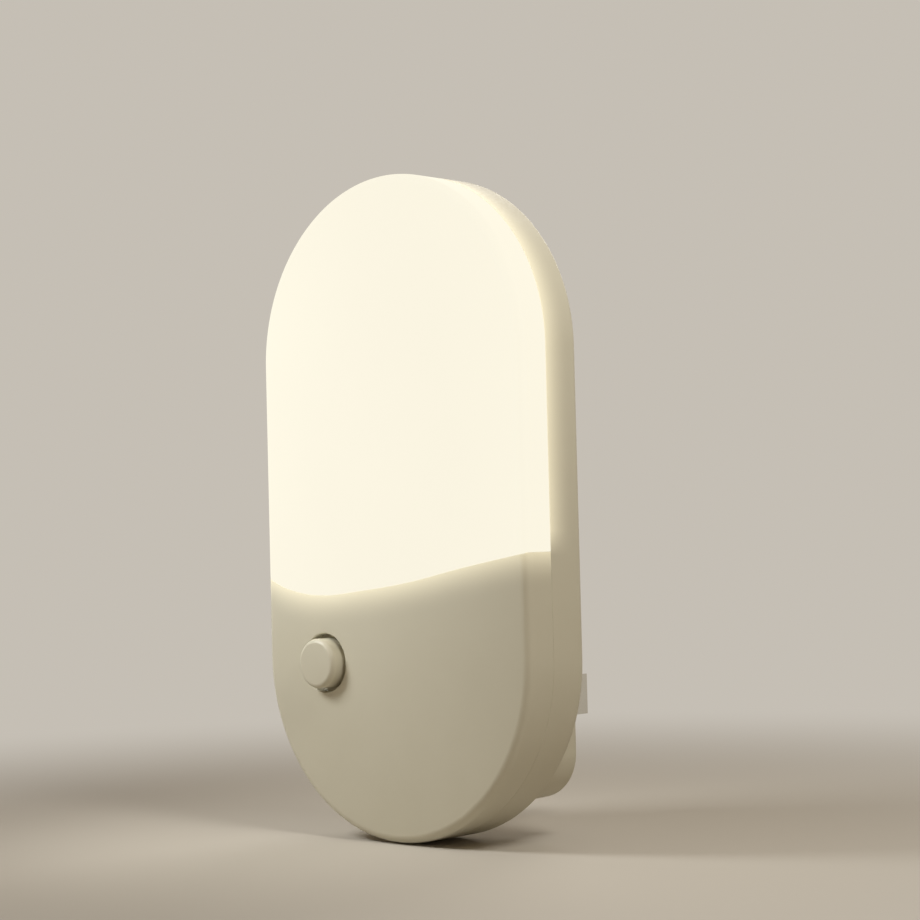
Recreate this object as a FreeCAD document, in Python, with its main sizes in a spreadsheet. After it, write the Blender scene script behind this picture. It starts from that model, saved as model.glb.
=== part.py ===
import FreeCAD, Part
import math
import os
import Sketcher

# Plug in night light, millimetres.
# Origin: on the flat face of the plug, midway between the blades. +X right as seen from the front,
# +Y into the wall, +Z up. A distance called forward is measured from the plug face towards the room.

document = FreeCAD.newDocument("NightLight")
sheet = document.addObject("Spreadsheet::Sheet", "Sizes")

SIZES = (
    ("body_height", 100.0, "front outline, top to bottom"),
    ("body_width", 54.6, "front outline, side to side"),
    ("body_rise", 30.0, "centre of the outline above the blades"),
    ("boss_depth", 7.3, "plug boss behind the rear shell"),
    ("shell_depth", 7.0, "side of the rear shell"),
    ("front_depth", 5.3, "side of the cover and the diffuser"),
    ("front_round", 1.3, "rounding round the front face"),
    ("rear_round", 1.0, "rounding round the rear face"),
    ("seam_chamfer", 0.15, "chamfer on both sides of the seam"),
    ("face_wall", 1.6, "front wall of the cover"),
    ("skirt_wall", 1.5, "side wall of the cover and the diffuser"),
    ("rim_gap", 0.1, "clearance between skirt and rim"),
    ("rim_wall", 0.9, "wall of the rim that stands inside the skirts"),
    ("rim_height", 1.5, "rim in front of the seam"),
    ("floor_wall", 1.8, "rear wall of the shell"),
    ("boss_width", 38.4, "plug boss at the plug face"),
    ("boss_top", 14.0, "top of the boss above the blades"),
    ("boss_bottom", 14.2, "bottom of the boss below the blades"),
    ("boss_corner", 7.0, "corner radius of the boss"),
    ("boss_taper", 2.5, "draft of the boss, degrees"),
    ("boss_round", 0.6, "rounding round the plug face"),
    ("boss_wall", 1.9, "side wall of the boss"),
    ("end_wall", 2.0, "wall of the boss at the plug face"),
    ("wave_gap", 0.15, "gap between diffuser and cover along the wave"),
    ("tongue_gap", 0.1, "clearance between tongue and cover"),
    ("tongue_reach", 2.2, "tongue below the wave"),
    ("tongue_wall", 1.0, "thickness of the tongue"),
    ("tongue_side", 1.0, "tongue end to skirt wall"),
    ("snap_wall", 1.0, "thickness of a snap arm"),
    ("snap_width", 5.0, "width of a snap arm"),
    ("snap_hook", 0.7, "outward reach of a snap hook"),
    ("snap_gap", 0.15, "clearance round a snap arm and hook"),
    ("snap_low", 31.0, "lower pair of snap arms above the blades"),
    ("snap_end", 2.2, "upper pair of snap arms below the end of the straight sides"),
    ("button_x", -14.5, "button to the left of the blades"),
    ("button_z", 6.5, "button above the blades"),
    ("button_cap_r", 3.8, "cap of the button"),
    ("cap_gap", 0.7, "clearance round the cap in the cover's hole"),
    ("button_proud", 2.05, "cap in front of the cover"),
    ("button_round", 0.45, "rounding of the cap"),
    ("button_stroke", 1.5, "travel of the button"),
    ("flange_lip", 0.6, "stop flange beyond the cover's hole"),
    ("flange_gap", 0.1, "stop flange to the cover at rest"),
    ("flange_wall", 1.0, "thickness of the stop flange"),
    ("guide_gap", 0.2, "clearance round the stop flange"),
    ("guide_wall", 1.0, "wall of the guide tube"),
    ("guide_length", 3.2, "guide tube behind the cover's face"),
    ("stem_r", 1.5, "stem of the switch plunger"),
    ("stem_seat", 0.02, "radial clearance of the stem in the cap"),
    ("socket_depth", 2.0, "socket for the stem, from the flange's rear face"),
    ("post_x", 12.5, "cover screws right and left of the blades"),
    ("post_drop", 8.5, "cover screws below the blades"),
    ("post_r", 3.0, "screw post"),
    ("cover_shank_r", 1.3, "cover screw"),
    ("cover_head_r", 2.4, "cover screw head"),
    ("cover_head_depth", 1.6, "cover screw head"),
    ("cover_recess", 3.4, "counterbore from the plug face"),
    ("cover_screw_length", 11.5, "cover screw under its head"),
    ("screw_gap", 0.2, "clearance round a screw in a through hole"),
    ("thread_play", 0.03, "screw shank inside its pilot hole"),
    ("small_screw_length", 5.0, "board screw under its head"),
    ("clamp_corner", 1.0, "corners of the blade clamp"),
    ("solder_r", 1.9, "solder round a blade tail, at the board"),
    ("solder_top_r", 1.52, "its front end"),
    ("solder_rise", 0.48, "solder in front of the board"),
    ("film_x", 14.4, "film capacitor right of the blades"),
    ("film_z", 0.2, "film capacitor above the blades"),
    ("film_width", 4.4, "film capacitor"),
    ("film_height", 10.0, "film capacitor"),
    ("film_depth", 5.6, "film capacitor"),
    ("film_round", 0.3, "its long edges"),
    ("film_pitch", 7.5, "its leads"),
    ("can_x", -3.5, "left end of the electrolytic capacitor"),
    ("can_z", -6.8, "its axis above the blades"),
    ("can_r", 2.5, "electrolytic capacitor"),
    ("can_length", 11.0, "electrolytic capacitor"),
    ("can_pitch", 2.0, "its leads"),
    ("can_round", 0.3, "rim of a can"),
    ("fuse_x", 13.2, "fuse resistor right of the blades"),
    ("fuse_z", 12.8, "fuse resistor above the blades"),
    ("fuse_r", 1.2, "fuse resistor"),
    ("fuse_length", 6.0, "fuse resistor"),
    ("fuse_pitch", 8.6, "its legs"),
    ("chip_depth", 1.5, "moulded chips"),
    ("leg_wall", 0.2, "legs of a chip"),
    ("leg_width", 0.45, "legs of a chip"),
    ("leg_reach", 0.9, "legs beyond the chip"),
    ("leg_pitch", 1.27, "legs of a chip"),
    ("bridge_x", 0.0, "bridge rectifier"),
    ("bridge_z", 4.0, "bridge rectifier above the blades"),
    ("bridge_width", 4.7, "bridge rectifier"),
    ("bridge_height", 3.9, "bridge rectifier"),
    ("driver_x", -1.0, "driver chip"),
    ("driver_z", 10.4, "driver chip above the blades"),
    ("driver_width", 4.9, "driver chip"),
    ("driver_height", 3.6, "driver chip"),
    ("resistor_x", 4.2, "first chip resistor"),
    ("resistor_z", 8.2, "chip resistors above the blades"),
    ("resistor_pitch", 1.8, "chip resistors"),
    ("resistor_width", 0.9, "chip resistor"),
    ("resistor_height", 1.7, "chip resistor"),
    ("resistor_depth", 0.5, "chip resistor"),
    ("blade_spacing", 12.7, "centre to centre of the blades"),
    ("blade_width", 6.3, "flat blade"),
    ("blade_thick", 1.5, "flat blade"),
    ("blade_length", 17.5, "blade beyond the plug face"),
    ("blade_hole_r", 1.6, "hole through the blade"),
    ("blade_hole_out", 11.7, "that hole from the plug face"),
    ("blade_tip", 0.5, "chamfer at the tip"),
    ("slot_gap", 0.06, "clearance round a blade in its slot"),
    ("shoulder_width", 8.6, "shoulder of a blade"),
    ("shoulder_depth", 1.3, "shoulder of a blade"),
    ("tail_width", 2.8, "solder tail of a blade"),
    ("tail_thick", 0.9, "solder tail of a blade"),
    ("tail_proud", 0.8, "solder tail in front of the board"),
    ("clamp_width", 17.2, "blade clamp"),
    ("clamp_height", 19.0, "blade clamp"),
    ("clamp_wall", 1.8, "blade clamp"),
    ("clamp_screw_z", 7.2, "clamp screws above and below the middle"),
    ("small_shank_r", 0.9, "small screw"),
    ("small_head_r", 1.75, "small screw head"),
    ("small_head_depth", 1.1, "small screw head"),
    ("clamp_post_r", 2.1, "clamp screw post"),
    ("recess_width", 0.6, "arms of the cross recess of a screw"),
    ("board_wall", 1.2, "driver board"),
    ("board_width", 38.0, "driver board"),
    ("board_bottom", 11.0, "driver board below the blades"),
    ("board_top", 16.5, "driver board above the blades"),
    ("board_corner", 8.0, "lower corners of the driver board"),
    ("board_top_corner", 1.5, "upper corners of the driver board"),
    ("board_screw_x", 14.2, "board screw right of the blades"),
    ("board_screw_z", 8.2, "board screw above the blades"),
    ("board_post_r", 2.2, "board screw post"),
    ("lamp_board_width", 38.0, "lamp board"),
    ("lamp_board_bottom", 24.0, "lamp board above the blades"),
    ("lamp_board_top", 72.0, "lamp board above the blades"),
    ("lamp_board_corner", 12.0, "upper corners of the lamp board"),
    ("lamp_board_wall", 1.0, "lamp board"),
    ("lamp_post_rise", 1.2, "posts under the lamp board"),
    ("lamp_post_r", 2.4, "posts under the lamp board"),
    ("lamp_post_x", 15.5, "posts right and left"),
    ("lamp_post_low", 27.5, "lower posts above the blades"),
    ("lamp_post_high", 60.0, "upper posts above the blades"),
    ("lamp_pitch_x", 10.5, "lamp columns"),
    ("lamp_pitch_z", 10.5, "lamp rows"),
    ("lamp_first_z", 33.0, "lowest lamp row"),
    ("lamp_width", 2.8, "lamp package"),
    ("lamp_height", 3.5, "lamp package"),
    ("lamp_depth", 0.8, "lamp package"),
    ("lamp_wall", 0.35, "wall round the phosphor"),
    ("phosphor_depth", 0.5, "phosphor filling"),
    ("switch_width", 7.0, "switch body"),
    ("switch_wall", 0.8, "side wall of the switch body"),
    ("switch_floor", 0.6, "floor of the switch body"),
    ("press_gap", 0.2, "stop flange to the switch when pressed"),
    ("switch_lid", 0.4, "sheet cover of the switch"),
    ("lid_gap", 0.1, "sheet cover inside the guide tube"),
    ("lid_tab_width", 2.0, "tabs of the sheet cover"),
    ("lid_tab_drop", 2.2, "tabs of the sheet cover"),
    ("lid_tab_wall", 0.3, "tabs of the sheet cover"),
    ("stem_gap", 0.06, "clearance round the stem in the sheet cover"),
    ("plate_width", 5.0, "square plate of the plunger"),
    ("plate_depth", 0.8, "square plate of the plunger"),
    ("plate_rest_gap", 0.05, "plate under the sheet cover at rest"),
    ("peg_r", 0.85, "spring peg of the plunger"),
    ("peg_length", 0.8, "spring peg of the plunger"),
    ("spring_wire_r", 0.13, "spring wire"),
    ("spring_mean_r", 1.2, "spring coil to the wire's middle"),
    ("spring_turns", 4.0, "coils of the spring"),
    ("spring_seat", 0.05, "spring end to its seats"),
    ("wiper_width", 0.8, "contact bridge"),
    ("wiper_span", 4.4, "contact bridge"),
    ("wiper_wall", 0.2, "contact bridge"),
    ("wiper_leg", 0.9, "legs of the contact bridge"),
    ("terminal_x", 2.1, "terminals right and left of the switch's middle"),
    ("terminal_z", 2.0, "terminals above and below the switch's middle"),
    ("terminal_pad", 1.0, "contact pad of a terminal"),
    ("terminal_pad_depth", 0.35, "contact pad of a terminal"),
    ("terminal_pin", 0.5, "square pin of a terminal"),
    ("terminal_gap", 0.05, "clearance round a pin in the switch floor"),
    ("terminal_reach", 1.0, "pin behind the board"),
    ("lead_r", 0.3, "component lead"),
    ("lead_neck", 0.85, "lead beyond its bend, as a share of the leg"),
    ("lead_gap", 0.1, "clearance round a lead in the board"),
    ("lead_reach", 0.9, "lead beyond the board"),
    ("fuse_lift", 0.3, "fuse resistor in front of the board"),
    ("wire_r", 0.6, "insulated lamp wire"),
    ("wire_bend_r", 1.8, "bend of a lamp wire, to its middle"),
    ("wire_lift", 3.0, "lamp wire in front of the driver board"),
    ("wire_start_z", 14.2, "lamp wires on the driver board"),
    ("wire_end_z", 27.0, "lamp wires on the lamp board"),
    ("wire_x", 1.5, "lamp wires right and left of the middle"),
)
for row, (alias, value, meaning) in enumerate(SIZES, start=1):
    sheet.set(f"A{row}", meaning)
    sheet.set(f"B{row}", str(value))
    sheet.setAlias(f"B{row}", alias)
document.recompute()

# Places that several pieces share, each worked out from the sizes above.
places = document.addObject("App::VarSet", "Places")

PLACES = (
    ("seam", "Sizes.boss_depth + Sizes.shell_depth"),
    ("front", "Places.seam + Sizes.front_depth"),
    ("cover_inside", "Places.front - Sizes.face_wall"),
    ("diffuser_inside", "Places.cover_inside - Sizes.tongue_gap"),
    ("shell_floor", "Sizes.boss_depth + Sizes.floor_wall"),
    ("rim_offset", "Sizes.skirt_wall + Sizes.rim_gap"),
    ("shell_wall", "Places.rim_offset + Sizes.rim_wall"),
    ("half_width", "Sizes.body_width / 2"),
    ("snap_x", "Places.half_width - Places.shell_wall - Sizes.snap_gap - Sizes.snap_wall / 2"),
    ("straight_top", "Sizes.body_rise + (Sizes.body_height - Sizes.body_width) / 2"),
    ("snap_low", "Sizes.snap_low"),
    ("snap_high", "Places.straight_top - Sizes.snap_end - Sizes.snap_width / 2"),
    ("hook_forward", "Places.seam - 2 * Sizes.snap_hook"),
    ("board_front", "Places.shell_floor + Sizes.board_wall"),
    ("lamp_board_rear", "Places.shell_floor + Sizes.lamp_post_rise"),
    ("lamp_board_front", "Places.lamp_board_rear + Sizes.lamp_board_wall"),
    ("clamp_rear", "Sizes.end_wall + Sizes.shoulder_depth"),
    ("flange_front", "Places.cover_inside - Sizes.flange_gap"),
    ("flange_rear", "Places.flange_front - Sizes.flange_wall"),
    ("lid_rear", "Places.flange_rear - Sizes.button_stroke - Sizes.press_gap - Sizes.switch_lid"),
    ("hole_r", "Sizes.button_cap_r + Sizes.cap_gap"),
    ("flange_r", "Places.hole_r + Sizes.flange_lip"),
    ("lid_r", "hypot(Sizes.switch_width / 2 + Sizes.lid_tab_wall; Sizes.switch_width / 2)"),
    ("guide_r", "max(Places.flange_r + Sizes.guide_gap; Places.lid_r + Sizes.lid_gap)"),
    ("plate_front", "Places.lid_rear - Sizes.plate_rest_gap"),
    ("plate_rear", "Places.plate_front - Sizes.plate_depth"),
    ("switch_inside", "Places.board_front + Sizes.switch_floor"),
)
for name, formula in PLACES:
    places.addProperty("App::PropertyFloat", name)
    places.setExpression(name, formula)
document.recompute()


def size(alias):
    """Value of one cell of the sheet."""
    return float(sheet.get(alias))


def new_body(name, several=False):
    """One named piece; several is for a group of separate solids."""
    body = document.addObject("PartDesign::Body", name)
    body.Label = name
    body.AllowCompound = several
    return body


def put(feature, x, forward, z):
    """Place a feature's base point by three formulas."""
    feature.setExpression(".Placement.Base.x", x)
    feature.setExpression(".Placement.Base.y", f"-({forward})")
    feature.setExpression(".Placement.Base.z", z)


def block(body, name, x, z, start, width, height, depth, cut=False):
    """Box centred on x and z that reaches forward by depth from start."""
    kind = "PartDesign::SubtractiveBox" if cut else "PartDesign::AdditiveBox"
    box = body.newObject(kind, name)
    box.setExpression("Length", width)
    box.setExpression("Width", depth)
    box.setExpression("Height", height)
    put(box, f"({x}) - ({width}) / 2", f"({start}) + ({depth})", f"({z}) - ({height}) / 2")
    return box


def rod(body, name, x, z, start, radius, depth, cut=False):
    """Cylinder along Y at x and z that reaches forward by depth from start."""
    kind = "PartDesign::SubtractiveCylinder" if cut else "PartDesign::AdditiveCylinder"
    cylinder = body.newObject(kind, name)
    cylinder.Placement = FreeCAD.Placement(FreeCAD.Vector(), FreeCAD.Rotation(FreeCAD.Vector(1, 0, 0), 90))
    cylinder.setExpression("Radius", radius)
    cylinder.setExpression("Height", depth)
    put(cylinder, x, start, z)
    return cylinder


def cone(body, name, x, z, start, radius, end_radius, depth):
    """Cone along Y at x and z that reaches forward by depth from start."""
    shape = body.newObject("PartDesign::AdditiveCone", name)
    shape.Placement = FreeCAD.Placement(FreeCAD.Vector(), FreeCAD.Rotation(FreeCAD.Vector(1, 0, 0), 90))
    shape.setExpression("Radius1", radius)
    shape.setExpression("Radius2", end_radius)
    shape.setExpression("Height", depth)
    put(shape, x, start, z)
    return shape


def origin_plane(body, role):
    return next(item for item in body.Origin.OriginFeatures if item.Role == role)


def front_sketch(body, name, forward):
    """Sketch seen from the front, on a plane the given distance forward."""
    sketch = body.newObject("Sketcher::SketchObject", name)
    sketch.AttachmentSupport = [(origin_plane(body, "XZ_Plane"), "")]
    sketch.MapMode = "FlatFace"
    sketch.setExpression(".AttachmentOffset.Base.z", forward)
    document.recompute()
    return sketch


def constrain(sketch, name, formula, *parts):
    """Add one dimension to a sketch and bind it to a formula."""
    index = sketch.addConstraint(Sketcher.Constraint(*parts))
    sketch.renameConstraint(index, name)
    sketch.setExpression(f"Constraints.{name}", formula)


HALF_TURN = math.pi
START_INSET = 3


def stadium(sketch, inset, tag):
    """Outline with two half circles, drawn inside the front outline by inset."""
    radius = size("body_width") / 2 - START_INSET
    reach = size("body_height") / 2 - radius
    middle = size("body_rise")
    first = sketch.GeometryCount
    top = FreeCAD.Vector(0, middle + reach, 0)
    bottom = FreeCAD.Vector(0, middle - reach, 0)
    side = FreeCAD.Vector(radius, 0, 0)
    normal = FreeCAD.Vector(0, 0, 1)
    sketch.addGeometry(Part.ArcOfCircle(Part.Circle(top, normal, radius), 0, HALF_TURN))
    sketch.addGeometry(Part.LineSegment(top - side, bottom - side))
    sketch.addGeometry(Part.ArcOfCircle(Part.Circle(bottom, normal, radius), HALF_TURN, 2 * HALF_TURN))
    sketch.addGeometry(Part.LineSegment(bottom + side, top + side))
    arc, left, low_arc, right = range(first, first + 4)
    joints = ((arc, 2, left, 1), (left, 2, low_arc, 1), (low_arc, 2, right, 1), (right, 2, arc, 1))
    for joint in joints:
        sketch.addConstraint(Sketcher.Constraint("Tangent", *joint))
    sketch.addConstraint(Sketcher.Constraint("Vertical", left))
    sketch.addConstraint(Sketcher.Constraint("Vertical", right))
    sketch.addConstraint(Sketcher.Constraint("PointOnObject", arc, 3, -2))
    constrain(sketch, f"radius{tag}", f"Places.half_width - ({inset})", "Radius", arc, radius)
    constrain(sketch, f"reach{tag}", "Sizes.body_height - Sizes.body_width",
              "DistanceY", low_arc, 3, arc, 3, 2 * reach)
    constrain(sketch, f"rise{tag}", "Sizes.body_rise + (Sizes.body_height - Sizes.body_width) / 2",
              "DistanceY", -1, 1, arc, 3, middle + reach)


def rounded_oblong(sketch, inset, formulas):
    """Rounded rectangle about X = 0; formulas are its width, bottom, top and corner radius."""
    half = size("boss_width") / 2 - inset
    bottom = inset - size("boss_bottom")
    top = size("boss_top") - inset
    corner = size("boss_corner") - inset
    normal = FreeCAD.Vector(0, 0, 1)
    quarter = HALF_TURN / 2
    ends = (
        ((corner - half, bottom), (half - corner, bottom)), ((half, bottom + corner), (half, top - corner)),
        ((half - corner, top), (corner - half, top)), ((-half, top - corner), (-half, bottom + corner)))
    centres = ((half - corner, bottom + corner), (half - corner, top - corner),
               (corner - half, top - corner), (corner - half, bottom + corner))
    for start, end in ends:
        sketch.addGeometry(Part.LineSegment(FreeCAD.Vector(*start, 0), FreeCAD.Vector(*end, 0)))
    for index, centre in enumerate(centres):
        circle = Part.Circle(FreeCAD.Vector(*centre, 0), normal, corner)
        sketch.addGeometry(Part.ArcOfCircle(circle, (index - 1) * quarter, index * quarter))
    for index in range(4):
        sketch.addConstraint(Sketcher.Constraint("Tangent", index, 2, index + 4, 1))
        sketch.addConstraint(Sketcher.Constraint("Tangent", index + 4, 2, (index + 1) % 4, 1))
    for index in (5, 6, 7):
        sketch.addConstraint(Sketcher.Constraint("Equal", 4, index))
    sketch.addConstraint(Sketcher.Constraint("Symmetric", 0, 1, 0, 2, -2))
    width_formula, bottom_formula, top_formula, corner_formula = formulas
    constrain(sketch, "corner", corner_formula, "Radius", 4, corner)
    constrain(sketch, "width", width_formula, "DistanceX", 3, 1, 1, 1, 2 * half)
    constrain(sketch, "bottom", bottom_formula, "DistanceY", -1, 1, 0, 1, bottom)
    constrain(sketch, "top", top_formula, "DistanceY", -1, 1, 2, 1, top)


def pad(body, name, sketch, length, rearward=False):
    """Extrude a sketch forward, or rearward."""
    feature = body.newObject("PartDesign::Pad", name)
    feature.Profile = sketch
    feature.setExpression("Length", length)
    feature.Reversed = rearward
    return feature


def pocket(body, name, sketch, length, forward=False):
    """Cut a sketch rearward, or forward."""
    feature = body.newObject("PartDesign::Pocket", name)
    feature.Profile = sketch
    feature.setExpression("Length", length)
    feature.Reversed = forward
    return feature


def soften(body, name, amount, chosen, kind="PartDesign::Fillet"):
    """Fillet or chamfer the edges of the piece that chosen accepts."""
    document.recompute()
    base = body.Tip
    edges = [f"Edge{index}" for index, edge in enumerate(base.Shape.Edges, start=1) if chosen(edge)]
    feature = body.newObject(kind, name)
    feature.Base = (base, edges)
    feature.setExpression("Size" if kind == "PartDesign::Chamfer" else "Radius", amount)
    return feature


NEAR = 0.001


def in_plane(edge, forward):
    """True where an edge lies wholly in the plane the given distance forward."""
    box = edge.BoundBox
    return abs(box.YMin + forward) < NEAR and abs(box.YMax + forward) < NEAR


def across(edge):
    """True where a straight edge runs along Y, or nearly so."""
    return edge.Curve.TypeId == "Part::GeomLine" and abs(edge.tangentAt(edge.FirstParameter).y) > 0.9


def corner_at(x_sign, z_sign, z_middle):
    """Choose the edges along Y in one quarter of a plate."""
    def chosen(edge):
        middle = edge.CenterOfMass
        return across(edge) and middle.x * x_sign > 0 and (middle.z - z_middle) * z_sign > 0
    return chosen


# Shares of a screw: its tip of the shank, its recess of the head's depth, the recess arms of its radius.
TIP_SHARE = 0.15
RECESS_SHARE = 0.55
RECESS_ARM = 1.2


def cross_screw(body, name, x, z, head_start, head_r, head_depth, shank_r, shank, forward=True):
    """Pan head screw with a cross recess; its shank leaves the head forward or rearward."""
    if forward:
        shank_start = f"({head_start}) + ({head_depth})"
        recess_start = head_start
    else:
        shank_start = f"({head_start}) - ({shank})"
        recess_start = f"({head_start}) + ({head_depth}) * (1 - {RECESS_SHARE})"
    rod(body, f"{name}_head", x, z, head_start, head_r, head_depth)
    point = f"({shank}) * {TIP_SHARE}"
    plain = f"({shank}) * (1 - {TIP_SHARE})"
    if forward:
        rod(body, f"{name}_shank", x, z, shank_start, shank_r, plain)
        cone(body, f"{name}_tip", x, z, f"{shank_start} + {plain}", shank_r, f"({shank_r}) / 3", point)
    else:
        rod(body, f"{name}_shank", x, z, f"{shank_start} + {point}", shank_r, plain)
        cone(body, f"{name}_tip", x, z, shank_start, f"({shank_r}) / 3", shank_r, point)
    depth = f"({head_depth}) * {RECESS_SHARE}"
    arm = f"({head_r}) * {RECESS_ARM}"
    block(body, f"{name}_slot", x, z, recess_start, arm, "Sizes.recess_width", depth, cut=True)
    block(body, f"{name}_cross", x, z, recess_start, "Sizes.recess_width", arm, depth, cut=True)


# The wave line where diffuser and cover meet, seen from the front: distance right of the middle
# and height above the outline's centre. The first and last points lie just outside the outline.
WAVE_OVERSHOOT = 1.0
WAVE_LEFT = -9.9
WAVE_RIGHT = -7.0
WAVE_POINTS = ((-22.5, -12.2), (-15.5, -13.19), (-6.0, -12.45), (4.0, -11.22), (14.9, -9.2))


def wave_curve(shift):
    """The wave line, lowered by shift."""
    reach = places.half_width + WAVE_OVERSHOOT
    rise = size("body_rise") - shift
    points = [FreeCAD.Vector(-reach, rise + WAVE_LEFT, 0)]
    points += [FreeCAD.Vector(x, rise + z, 0) for x, z in WAVE_POINTS if abs(x) < places.half_width]
    points.append(FreeCAD.Vector(reach, rise + WAVE_RIGHT, 0))
    curve = Part.BSplineCurve()
    curve.interpolate(points)
    return curve


def wave_region(sketch, shift, far_z):
    """Closed outline between the wave line and a level line above or below it."""
    curve = wave_curve(shift)
    start = curve.StartPoint
    end = curve.EndPoint
    far_start = FreeCAD.Vector(start.x, far_z, 0)
    far_end = FreeCAD.Vector(end.x, far_z, 0)
    sketch.addGeometry(curve)
    sketch.addGeometry(Part.LineSegment(end, far_end))
    sketch.addGeometry(Part.LineSegment(far_end, far_start))
    sketch.addGeometry(Part.LineSegment(far_start, start))


# Rear housing: a pan with a rounded rear edge, a rim that stands inside the two front pieces, and
# the hollow plug boss in one moulding with it.
housing = new_body("rear_housing")
outline = front_sketch(housing, "housing_outline", "Sizes.boss_depth")
stadium(outline, "0", "_outer")
pad(housing, "housing_slab", outline, "Sizes.shell_depth")
soften(housing, "housing_rear_round", "Sizes.rear_round", lambda edge: in_plane(edge, size("boss_depth")))
soften(housing, "housing_seam", "Sizes.seam_chamfer", lambda edge: in_plane(edge, places.seam),
       kind="PartDesign::Chamfer")
boss_outline = front_sketch(housing, "boss_outline", "0")
rounded_oblong(boss_outline, 0,
               ("Sizes.boss_width", "-Sizes.boss_bottom", "Sizes.boss_top", "Sizes.boss_corner"))
boss = pad(housing, "boss", boss_outline, "Sizes.boss_depth + Sizes.rear_round")
boss.setExpression("TaperAngle", "Sizes.boss_taper")
soften(housing, "plug_face_round", "Sizes.boss_round", lambda edge: in_plane(edge, 0))
cavity = front_sketch(housing, "cavity_outline", "Places.seam")
stadium(cavity, "Places.shell_wall", "_inner")
pocket(housing, "cavity", cavity, "Sizes.shell_depth - Sizes.floor_wall")
rim = front_sketch(housing, "rim_outline", "Places.seam")
stadium(rim, "Places.rim_offset", "_outer")
stadium(rim, "Places.shell_wall", "_inner")
pad(housing, "rim", rim, "Sizes.rim_height")
boss_hollow = front_sketch(housing, "boss_hollow_outline", "Places.shell_floor")
rounded_oblong(boss_hollow, size("boss_wall"),
               ("Sizes.boss_width - 2 * Sizes.boss_wall", "Sizes.boss_wall - Sizes.boss_bottom",
                "Sizes.boss_top - Sizes.boss_wall", "Sizes.boss_corner - Sizes.boss_wall"))
pocket(housing, "boss_hollow", boss_hollow, "Places.shell_floor - Sizes.end_wall")
for side, sign in (("left", "-1"), ("right", "1")):
    post_x = f"{sign} * Sizes.post_x"
    rod(housing, f"cover_post_{side}", post_x, "-Sizes.post_drop", "Sizes.end_wall",
        "Sizes.post_r", "Places.shell_floor - Sizes.end_wall")
    rod(housing, f"cover_bore_{side}", post_x, "-Sizes.post_drop", "0",
        "Sizes.cover_shank_r + Sizes.screw_gap", "Places.shell_floor", cut=True)
    rod(housing, f"cover_recess_{side}", post_x, "-Sizes.post_drop", "0",
        "Sizes.cover_head_r + Sizes.screw_gap", "Sizes.cover_recess + Sizes.cover_head_depth", cut=True)
    block(housing, f"blade_slot_{side}", f"{sign} * Sizes.blade_spacing / 2", "0", "0",
          "Sizes.blade_thick + 2 * Sizes.slot_gap", "Sizes.blade_width + 2 * Sizes.slot_gap",
          "Sizes.end_wall", cut=True)
for level, sign in (("low", "-1"), ("high", "1")):
    post_z = f"{sign} * Sizes.clamp_screw_z"
    rod(housing, f"clamp_post_{level}", "0", post_z, "Sizes.end_wall", "Sizes.clamp_post_r",
        "Sizes.shoulder_depth")
    rod(housing, f"clamp_pilot_{level}", "0", post_z, "Sizes.end_wall / 2",
        "Sizes.small_shank_r", "Places.clamp_rear", cut=True)
rod(housing, "board_post", "Sizes.board_screw_x", "Sizes.board_screw_z", "Sizes.end_wall",
    "Sizes.board_post_r", "Places.shell_floor - Sizes.end_wall")
rod(housing, "board_pilot", "Sizes.board_screw_x", "Sizes.board_screw_z", "Sizes.end_wall",
    "Sizes.small_shank_r", "Places.shell_floor - Sizes.end_wall", cut=True)
for side, sign in (("left", "-1"), ("right", "1")):
    for level in ("low", "high"):
        spot = (f"{sign} * Sizes.lamp_post_x", f"Sizes.lamp_post_{level}")
        rod(housing, f"lamp_post_{side}_{level}", *spot,
            "Places.shell_floor - Sizes.floor_wall / 2", "Sizes.lamp_post_r",
            "Sizes.lamp_post_rise + Sizes.floor_wall / 2")
        rod(housing, f"lamp_pilot_{side}_{level}", *spot, "Sizes.boss_depth + Sizes.floor_wall / 2",
            "Sizes.small_shank_r", "Sizes.floor_wall / 2 + Sizes.lamp_post_rise", cut=True)
        block(housing, f"snap_recess_{side}_{level}",
              f"{sign} * (Places.half_width - Places.shell_wall)", f"Places.snap_{level}",
              "Places.hook_forward - Sizes.snap_gap", "2 * Sizes.snap_hook",
              "Sizes.snap_width + 2 * Sizes.snap_gap", "Sizes.snap_hook + 2 * Sizes.snap_gap", cut=True)

# Front cover: the lower front shell, with the button's hole and guide tube and two screw posts.
cover = new_body("front_cover")
cover_outline = front_sketch(cover, "cover_outline", "Places.seam")
stadium(cover_outline, "0", "_outer")
pad(cover, "cover_slab", cover_outline, "Sizes.front_depth")
soften(cover, "cover_front_round", "Sizes.front_round", lambda edge: in_plane(edge, places.front))
soften(cover, "cover_seam", "Sizes.seam_chamfer", lambda edge: in_plane(edge, places.seam),
       kind="PartDesign::Chamfer")
cover_hollow = front_sketch(cover, "cover_hollow_outline", "Places.seam")
stadium(cover_hollow, "Sizes.skirt_wall", "_inner")
pocket(cover, "cover_hollow", cover_hollow, "Places.cover_inside - Places.seam", forward=True)
above_wave = front_sketch(cover, "above_wave", "Places.seam")
wave_region(above_wave, 0, size("body_rise") + size("body_height"))
pocket(cover, "cover_wave", above_wave, "Sizes.front_depth", forward=True)
rod(cover, "guide_tube", "Sizes.button_x", "Sizes.button_z", "Places.cover_inside - Sizes.guide_length",
    "Places.guide_r + Sizes.guide_wall", "Sizes.guide_length + Sizes.face_wall / 2")
rod(cover, "guide_bore", "Sizes.button_x", "Sizes.button_z", "Places.cover_inside - Sizes.guide_length",
    "Places.guide_r", "Sizes.guide_length", cut=True)
rod(cover, "button_hole", "Sizes.button_x", "Sizes.button_z", "Places.cover_inside", "Places.hole_r",
    "Sizes.face_wall", cut=True)
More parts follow.
